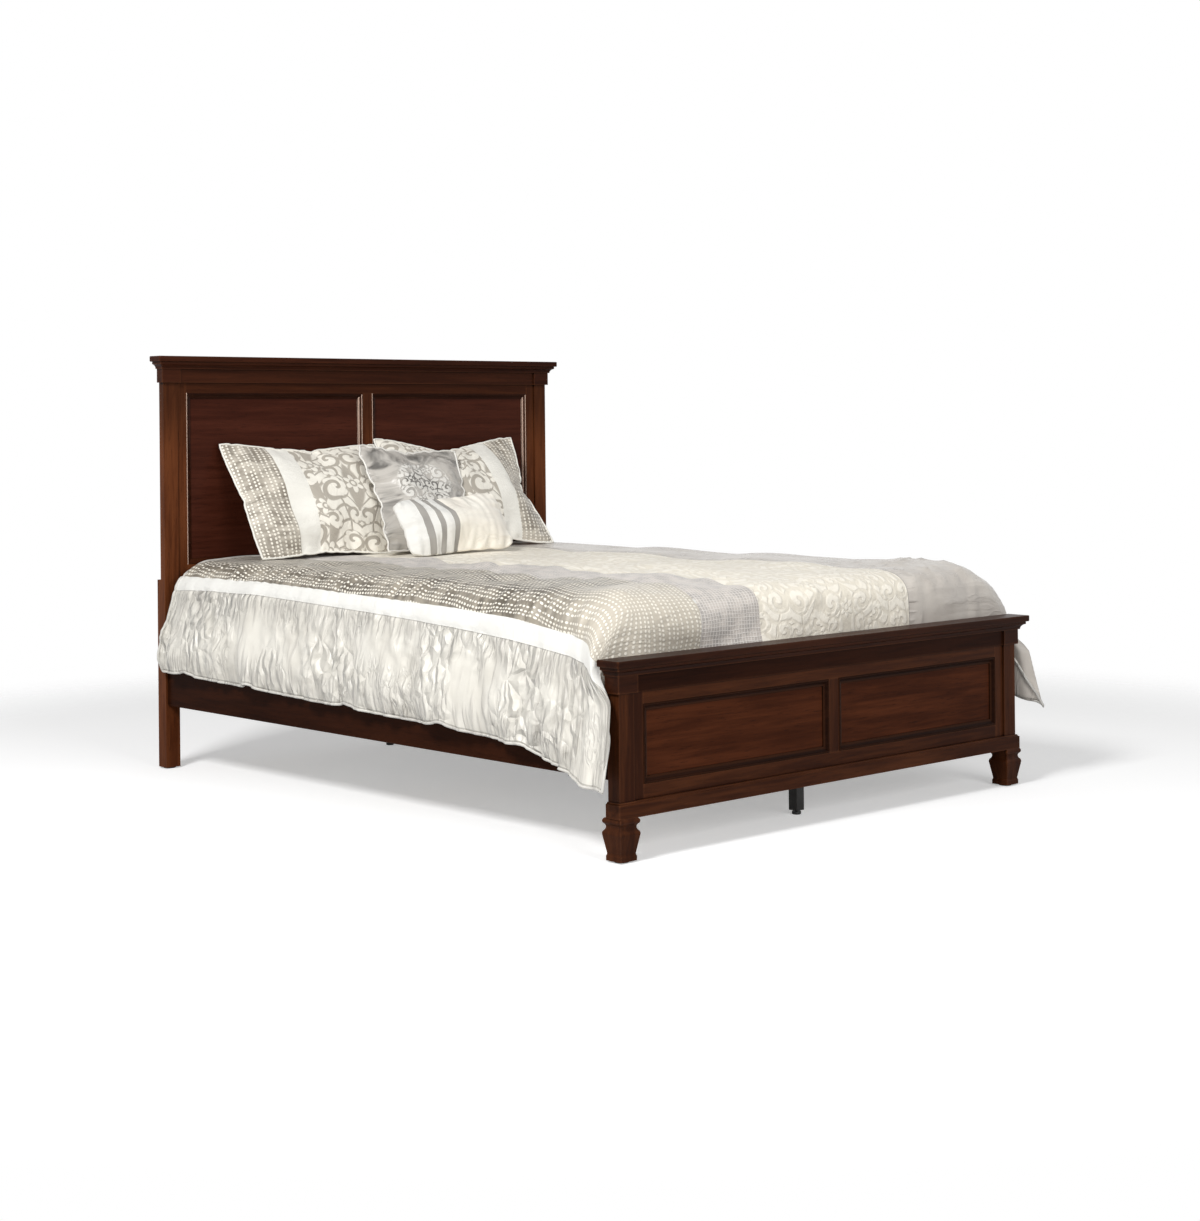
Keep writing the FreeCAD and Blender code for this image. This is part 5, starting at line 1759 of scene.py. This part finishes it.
    def edge_line(self, across: np.ndarray, along: np.ndarray, places: np.ndarray) -> np.ndarray:
        """The comforter's outline, point after point.

        Args:
            across: Flat place of each vertex across.
            along: Flat place of each vertex along.
            places: The vertices' places.

        Returns:
            The outline's points.
        """
        left = np.flatnonzero(np.isclose(across, -self.half_width))
        foot = np.flatnonzero(np.isclose(along, self.length))
        right = np.flatnonzero(np.isclose(across, self.half_width))
        head = np.flatnonzero(np.isclose(along, 0.0))
        ring = [*left[np.argsort(along[left])], *foot[np.argsort(across[foot])][1:],
                *right[np.argsort(-along[right])][1:], *head[np.argsort(-across[head])][1:-1]]
        return places[ring]


@dataclass
class Cushion:
    """A stuffed cushion that leans back on the comforter."""

    name: str
    node: str
    width: float
    height: float
    depth: float
    middle: tuple[float, float, float]
    lean: float
    roll: float
    bands: tuple[tuple[float, Cloth], ...]
    columns: int = 60
    rows: int = 44
    pressure: float = 8.0
    pull: float = 0.2
    welted: Optional[Cloth] = None
    welt_radius: float = 0.0036
    fill: float = 0.6
    gather: float = 0.0030
    gather_reach: float = 0.05
    lumps: float = 0.0045
    lumps_from: float = 0.09
    ruffle: float = 0.0005
    ruffle_reach: float = 0.012
    seam_calm: float = 0.008
    ease: float = 0.0
    draw: float = 0.0
    give: float = 0.006
    clearance: float = 0.0015
    search: float = 0.12
    flat_thickness: float = 0.012
    seed: int = 40

    SPRINGS: ClassVar[dict[str, Any]] = {
        "quality": 5, "mass": 0.25, "tension_stiffness": 18.0, "compression_stiffness": 18.0,
        "shear_stiffness": 6.0, "bending_stiffness": 0.05, "use_pressure": True}
    BLOWN_AT: ClassVar[int] = 24

    def cut_cover(self) -> bpy.types.Object:
        """Sew two flat panels into a thin cover.

        Returns:
            The cover.
        """
        piece = grid(self.name, self.columns, self.rows)
        flat = (points_of(piece)[:, :2] + 0.5) * (self.width, self.height)
        lay_flat_map(piece, flat)
        move_points(piece, points_of(piece) * (self.width, self.height, 1.0))
        for start, finish in self.bands:
            piece.data.materials.append(finish.material(f"{self.name}_{round(start * 100):02d}"))
        dress_bands(piece, flat[:, 0] / self.width, [start for start, _ in self.bands[1:]])
        apply(piece, "SOLIDIFY", thickness=self.flat_thickness, offset=0.0)
        return piece

    def stuff(self, piece: bpy.types.Object) -> None:
        """Blow the cover up with a cloth simulation and bring it to size.

        Args:
            piece: The flat cover.
        """
        take(piece)
        flat = points_of(piece)
        cloth = piece.modifiers.new("stuffing", "CLOTH")
        for name, setting in self.SPRINGS.items():
            setattr(cloth.settings, name, setting)
        cloth.settings.uniform_pressure_force = self.pressure
        cloth.settings.effector_weights.gravity = 0.0
        cloth.point_cache.frame_start = 1
        cloth.point_cache.frame_end = self.BLOWN_AT
        scene = bpy.context.scene
        for frame_number in range(1, self.BLOWN_AT + 1):
            scene.frame_set(frame_number)
        bpy.ops.object.modifier_apply(modifier=cloth.name)
        scene.frame_set(1)
        points = points_of(piece)
        flat[:, 2] = points[:, 2]
        points = flat + (points - flat) * self.pull
        middle = (points.max(axis=0) + points.min(axis=0)) / 2
        spread = points.max(axis=0) - points.min(axis=0)
        points = (points - middle) * ((self.width, self.height, self.depth) / spread)
        move_points(piece, self.pucker(points, flat[:, :2]))

    def pucker(self, points: np.ndarray, flat: np.ndarray) -> np.ndarray:
        """Gather the cover along its seam and crumple it a little.

        Args:
            points: The stuffed cover's vertices.
            flat: Their places in the flat cover, from its middle.

        Returns:
            The vertices' new places.
        """
        x, y = flat[:, 0], flat[:, 1]
        from_side = self.width / 2 - np.abs(x)
        from_end = self.height / 2 - np.abs(y)
        gap = np.minimum(from_side, from_end)
        upward = Ripples(0.075, 0.03, RIGHT_ANGLE, 0.12, self.seed).height(x, y)
        sideways = Ripples(0.075, 0.03, 0.0, 0.12, self.seed + 1).height(x, y)
        lumps = Ripples(0.34, 0.13, 0.7, 1.0, self.seed + 2).height(x, y)
        gathers = upward * np.exp(-from_side / self.gather_reach)
        gathers += sideways * np.exp(-from_end / self.gather_reach)
        raised = self.gather * gathers * (1 - np.exp(-gap / self.seam_calm))
        raised += self.lumps * lumps * ramp(gap, 0.0, self.lumps_from)
        moved = points.copy()
        moved[:, 2] += np.sign(points[:, 2]) * raised
        moved[:, 0] += self.ruffle * np.sign(x) * upward * np.exp(-from_side / self.ruffle_reach)
        moved[:, 1] += self.ruffle * np.sign(y) * sideways * np.exp(-from_end / self.ruffle_reach)
        corner = (np.abs(x) / (self.width / 2) * np.abs(y) / (self.height / 2)) ** 6
        moved[:, :2] -= self.ease * np.sign(flat) * corner[:, None]
        moved[:, 0] += self.draw * ramp(-y, 0.0, self.height / 2) * ramp(-x, 0.0, self.width / 2)
        return moved

    def stand(self, piece: bpy.types.Object) -> None:
        """Lean the cushion in its place.

        Args:
            piece: The stuffed cushion.
        """
        turn = Matrix.Rotation(math.radians(90 - self.lean), 3, "X")
        turn = np.array(turn @ Matrix.Rotation(math.radians(self.roll), 3, "Z"))
        move_points(piece, points_of(piece) @ turn.T + np.array(self.middle))

    def press(self, piece: bpy.types.Object, floor: float, wall: Optional[float],
              behind: list[bpy.types.Object]) -> None:
        """Flatten the cushion where it rests.

        Args:
            piece: The standing cushion.
            floor: Height of what it stands on.
            wall: Plane that it leans on, or None.
            behind: Pieces that it leans on.
        """
        points = points_of(piece)
        over = (points[:, 2] - floor) / self.give
        points[:, 2] = floor + np.logaddexp(0.0, over) * self.give
        if wall is not None:
            before = (wall - points[:, 1]) / self.give
            points[:, 1] = wall - np.logaddexp(0.0, before) * self.give
        for other in behind:
            tree = BVHTree.FromObject(other, bpy.context.evaluated_depsgraph_get())
            for number, point in enumerate(points):
                place, normal, _, _ = tree.find_nearest(Vector(point), self.search)
                if place is not None and (Vector(point) - place).dot(normal) < self.clearance:
                    points[number] = place + normal * self.clearance
        move_points(piece, points)

    def build(self, floor: float, wall: Optional[float],
              behind: list[bpy.types.Object]) -> bpy.types.Object:
        """Make the cushion.

        Args:
            floor: Height of what it stands on.
            wall: Plane that it leans on, or None.
            behind: Pieces that it leans on.

        Returns:
            The cushion.
        """
        piece = self.cut_cover()
        seam = self.seam_numbers(piece)
        self.stuff(piece)
        self.stand(piece)
        self.press(piece, floor, wall, behind)
        line = points_of(piece)[seam]
        apply(piece, "SUBSURF", levels=1, render_levels=1)
        smooth(piece)
        hand_over(piece, "pillow_covers", self.node)
        if self.welted is not None:
            cord = welt(f"{self.name}_welt", line, self.welt_radius, True)
            cord.data.materials.append(self.welted.material(f"{self.name}_welt_cloth"))
            hand_over(cord, "pillow_covers")
        return piece

    def seam_numbers(self, piece: bpy.types.Object) -> np.ndarray:
        """Numbers of the front panel's edge vertices, one after the other.

        Args:
            piece: The flat cover.

        Returns:
            The numbers in order round the cover.
        """
        points = points_of(piece)
        front = points[:, 2] > 0
        x, y = points[:, 0] / (self.width / 2), points[:, 1] / (self.height / 2)
        edge = np.flatnonzero(front & (np.maximum(np.abs(x), np.abs(y)) > 0.999))
        return edge[np.argsort(np.arctan2(y[edge], x[edge]))]


@dataclass
class BedBlock:
    """Mattress or foundation: a padded block with taped edges."""

    name: str
    node: str
    rounding: float
    finish: Cloth
    tape: Cloth
    bulge: float = 0.004
    tape_radius: float = 0.005
    tape_inset: float = 0.003
    corner_steps: int = 6

    def build(self) -> None:
        """Make the block in place of its node."""
        low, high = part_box(self.node)
        middle = (low + high) / 2
        spread = high - low
        deselect()
        bpy.ops.mesh.primitive_cube_add(size=1.0, location=middle)
        piece = bpy.context.object
        piece.name = self.name
        piece.scale = spread
        bpy.ops.object.transform_apply(location=True, rotation=True, scale=True)
        bpy.ops.object.mode_set(mode="EDIT")
        bpy.ops.mesh.select_all(action="SELECT")
        bpy.ops.mesh.bevel(offset=self.rounding, segments=5, affect="EDGES")
        bpy.ops.mesh.subdivide(number_cuts=3, smoothness=0.0)
        bpy.ops.object.mode_set(mode="OBJECT")
        points = points_of(piece)
        share = (points - np.array(middle)) / (np.array(spread) / 2)
        inward = np.clip(1 - share[:, :2] ** 2, 0.0, 1.0).prod(axis=1)
        points[:, 2] -= np.sign(share[:, 2]) * self.bulge * (1 - inward)
        move_points(piece, points)
        lay_flat_map(piece, points[:, :2] + points[:, 2:3])
        piece.data.materials.append(self.finish.material(f"{self.name}_cloth"))
        smooth(piece)
        hand_over(piece, "ticking", self.node)
        tape = self.tape.material(f"{self.name}_tape")
        for word, level in (("lower", low.z + self.rounding), ("upper", high.z - self.rounding)):
            ring = welt(f"{self.name}_{word}_tape", self.outline(low, high, level),
                        self.tape_radius, True)
            ring.data.materials.append(tape)
            hand_over(ring, "ticking")

    def outline(self, low: Vector, high: Vector, level: float) -> np.ndarray:
        """Rounded outline of the block at one level.

        Args:
            low: The block's lowest corner.
            high: Its highest corner.
            level: Height above the floor.

        Returns:
            The outline's points.
        """
        places = []
        radius = self.rounding
        corners = ((high.x, high.y), (low.x, high.y), (low.x, low.y), (high.x, low.y))
        for start, (x, y) in enumerate(corners):
            centre_x = x - math.copysign(radius + self.tape_inset, x)
            centre_y = y - math.copysign(radius + self.tape_inset, y)
            for number in range(self.corner_steps + 1):
                angle = (start + number / self.corner_steps) * RIGHT_ANGLE
                places.append((centre_x + radius * math.cos(angle),
                               centre_y + radius * math.sin(angle), level))
        return np.array(places)


class Bedding:
    """Mattress, foundation, comforter and cushions."""

    TICKING: ClassVar[Cloth] = PlainWeave((0.74, 0.73, 0.70), (0.62, 0.61, 0.585))
    BORDER: ClassVar[Cloth] = PlainWeave((0.62, 0.62, 0.61), (0.5, 0.5, 0.5))
    STRIPE: ClassVar[Cloth] = PlainWeave((0.90, 0.88, 0.81), (0.81, 0.785, 0.715))
    SCROLL: ClassVar[Cloth] = Damask((0.46, 0.42, 0.357), (0.92, 0.88, 0.785), 0.29, 0.33, 0.0012,
                                     0.006)
    DOTS: ClassVar[Cloth] = Dotted((0.235, 0.203, 0.16), (0.62, 0.567, 0.48), row=0.0185,
                                   pitch=0.0125, swerve=0.03, fold=0.205)
    CORD: ClassVar[Cloth] = Satin((0.84, 0.82, 0.77), (0.74, 0.72, 0.675), crush=0.002)
    BAR: ClassVar[Cloth] = Satin((0.36, 0.34, 0.31), (0.29, 0.275, 0.255), crush=0.002)
    WHITE: ClassVar[Cloth] = PlainWeave((0.85, 0.84, 0.80), (0.77, 0.755, 0.705))
    CREAM: ClassVar[Cloth] = Satin((0.96, 0.92, 0.825), (0.90, 0.845, 0.75), 0.40, 0.004, 26.0,
                                   streak=0.2)
    SHAM_LEAN: ClassVar[float] = 31.87
    SHAM_MIDDLE: ClassVar[float] = 0.2225
    WALL_GAP: ClassVar[float] = 0.0025

    def __init__(self) -> None:
        """Take the places of the bedding from the CAD nodes."""
        quilt_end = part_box("comforter")[1]
        self.top = quilt_end.z
        self.head = quilt_end.y
        self.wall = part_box("headboard_frieze")[1].y - self.WALL_GAP

    def cushions(self) -> tuple[Cushion, ...]:
        """Set out the four cushions.

        Returns:
            The cushions from the headboard forwards.
        """
        sham_z = self.top + self.SHAM_MIDDLE * math.cos(math.radians(self.SHAM_LEAN))
        bars = ((0.0, self.WHITE), (0.16, self.BAR), (0.21, self.WHITE), (0.27, self.BAR),
                (0.32, self.WHITE), (0.38, self.BAR), (0.43, self.CREAM))
        return (
            Cushion("sham_left_cover", "sham_left", 0.628, 0.440, 0.14,
                    (-0.301, 0.9352, sham_z - 0.008), self.SHAM_LEAN, -1.5,
                    ((0.0, self.DOTS), (0.265, self.STRIPE), (0.40, self.SCROLL)),
                    pull=0.3, welted=self.STRIPE, draw=0.024),
            Cushion("sham_right_cover", "sham_right", 0.628, 0.452, 0.14,
                    (0.333, 0.9352, sham_z), self.SHAM_LEAN, 0.0,
                    ((0.0, self.SCROLL), (0.66, self.STRIPE), (0.79, self.DOTS)),
                    pull=0.6, welted=self.STRIPE, seed=50),
            Cushion("square_cover", "square_cushion", 0.410, 0.410, 0.12,
                    (0.071, 0.8432, self.top + 0.1733), 31.0, -4.0, ((0.0, Embroidered()),),
                    46, 46, pull=0.3, welted=self.CORD, lumps=0.006, ruffle=0.0022, seed=60),
            Cushion("oblong_cover", "oblong_cushion", 0.452, 0.232, 0.135,
                    (0.034, 0.6287, self.top + 0.0960), 30.0, 2.5, bars, 70, 36, pull=0.25,
                    gather=0.004, lumps=0.003, ease=0.022, seed=70),
        )

    def build(self) -> None:
        """Make all the bedding."""
        BedBlock("foundation_block", "foundation", 0.012, self.TICKING, self.BORDER, 0.0).build()
        BedBlock("mattress_block", "mattress", 0.03, self.TICKING, self.BORDER).build()
        Comforter(self.top, self.head).build()
        left, right, square, oblong = self.cushions()
        left_cover = left.build(self.top, self.wall, [])
        right_cover = right.build(self.top, self.wall, [left_cover])
        square_cover = square.build(self.top, None, [left_cover, right_cover])
        oblong.build(self.top, None, [square_cover])


@dataclass(frozen=True)
class Lamp:
    """A soft rectangular studio lamp aimed at a point."""

    name: str
    place: tuple[float, float, float]
    aim: tuple[float, float, float]
    size: tuple[float, float]
    power: float

    def hang(self) -> None:
        """Add the lamp to the scene."""
        light = bpy.data.lights.new(self.name, "AREA")
        light.shape = "RECTANGLE"
        light.size, light.size_y = self.size
        light.energy = self.power
        lamp = bpy.data.objects.new(self.name, light)
        bpy.context.scene.collection.objects.link(lamp)
        way = Vector(self.aim) - Vector(self.place)
        lamp.rotation_euler = way.to_track_quat("-Z", "Y").to_euler()
        lamp.location = self.place


@dataclass
class Studio:
    """Floor, light and camera of the picture."""

    eye: tuple[float, float, float] = (-4.5008, -4.9353, 1.0996)
    yaw: float = math.radians(42.535)
    pitch: float = math.radians(0.245)
    roll: float = math.radians(-0.555)
    focal: float = 2147.7
    centre: Span = (578.6, 413.3)
    picture: tuple[int, int] = (1200, 1221)
    lamps: tuple[Lamp, ...] = (
        Lamp("key", (-5.2, -1.8, 4.8), (0.0, 0.0, 0.4), (1.5, 1.5), 360.0),
        Lamp("front", (-1.2, -5.6, 2.4), (0.0, -0.6, 0.6), (2.4, 1.6), 120.0),
        Lamp("overhead", (0.6, -1.0, 6.2), (0.0, -0.4, 0.3), (4.0, 4.0), 20.0),
    )
    sky: float = 0.24
    glow: float = 0.36
    paper: Colour = (0.80, 0.80, 0.80)
    floor_size: float = 16.0
    floor_edge: Span = (2.3, 3.6)

    def camera(self) -> None:
        """Set up the camera at the photograph's place."""
        forward = Vector((math.sin(self.yaw) * math.cos(self.pitch),
                          math.cos(self.yaw) * math.cos(self.pitch), math.sin(self.pitch)))
        level = Vector((math.cos(self.yaw), -math.sin(self.yaw), 0.0))
        upward = level.cross(forward)
        right = level * math.cos(self.roll) + upward * math.sin(self.roll)
        up = upward * math.cos(self.roll) - level * math.sin(self.roll)
        lens = bpy.data.cameras.new("camera")
        wide, tall = self.picture
        lens.sensor_width = 36.0
        lens.lens = self.focal * lens.sensor_width / max(wide, tall)
        lens.shift_x = (wide / 2 - self.centre[0]) / max(wide, tall)
        lens.shift_y = (self.centre[1] - tall / 2) / max(wide, tall)
        lens.clip_end = 200.0
        camera = bpy.data.objects.new("camera", lens)
        bpy.context.scene.collection.objects.link(camera)
        turn = Matrix((right, up, -forward)).transposed()
        camera.matrix_world = Matrix.Translation(self.eye) @ turn.to_4x4()
        bpy.context.scene.camera = camera

    def floor(self) -> None:
        """Lay a pale floor that reads as white, keeps the bed's shadow and is clear from below."""
        deselect()
        bpy.ops.mesh.primitive_plane_add(size=self.floor_size)
        ground = bpy.context.object
        ground.name = "floor"
        graph = Graph.of_material("pale_floor")
        seen = graph.node("ShaderNodeLightPath", out="Is Camera Ray")
        paper = graph.node("ShaderNodeBsdfDiffuse", {}, {"Color": rgba(self.paper)}, "BSDF")
        glow = graph.node("ShaderNodeEmission", {}, {"Strength": self.glow}, "Emission")
        dark = graph.node("ShaderNodeEmission", {}, {"Strength": 0.0}, "Emission")
        shown = graph.node("ShaderNodeMixShader", {}, {0: seen, 1: dark, 2: glow})
        both = graph.node("ShaderNodeAddShader", {}, {0: paper, 1: shown})
        away = graph.node("ShaderNodeVectorMath", {"operation": "LENGTH"}, {0: graph.place()},
                          "Value")
        gone = graph.node("ShaderNodeBsdfTransparent", out="BSDF")
        below = graph.node("ShaderNodeNewGeometry", out="Backfacing")
        clear = away.step(*self.floor_edge).larger(below)
        whole = graph.node("ShaderNodeMixShader", {}, {0: clear, 1: both, 2: gone})
        ground.data.materials.append(graph.end(whole))

    def light(self) -> None:
        """Hang the lamps and light the room round them."""
        for lamp in self.lamps:
            lamp.hang()
        world = bpy.data.worlds.new("room")
        bpy.context.scene.world = world
        graph = Graph(world)
        shown = graph.node("ShaderNodeLightPath", out="Is Camera Ray")
        for kind in ("Is Glossy Ray", "Is Transmission Ray"):
            shown = shown.larger(graph.node("ShaderNodeLightPath", out=kind))
        amount = self.sky + shown * (1.0 - self.sky)
        sky = graph.node("ShaderNodeBackground", {}, {"Color": rgba((1.0, 1.0, 1.0)),
                                                      "Strength": amount})
        graph.end(sky)

    def build(self) -> None:
        """Make the whole studio."""
        self.camera()
        self.floor()
        self.light()
        bpy.context.scene.view_settings.view_transform = "Standard"


def main() -> None:
    """Load the frame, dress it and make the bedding."""
    logging.basicConfig(level=logging.INFO, format="%(name)s: %(message)s")
    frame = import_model()
    Frame(frame["nodes"]).dress()
    Bedding().build()
    Studio().build()


if __name__ == "__main__":
    main()
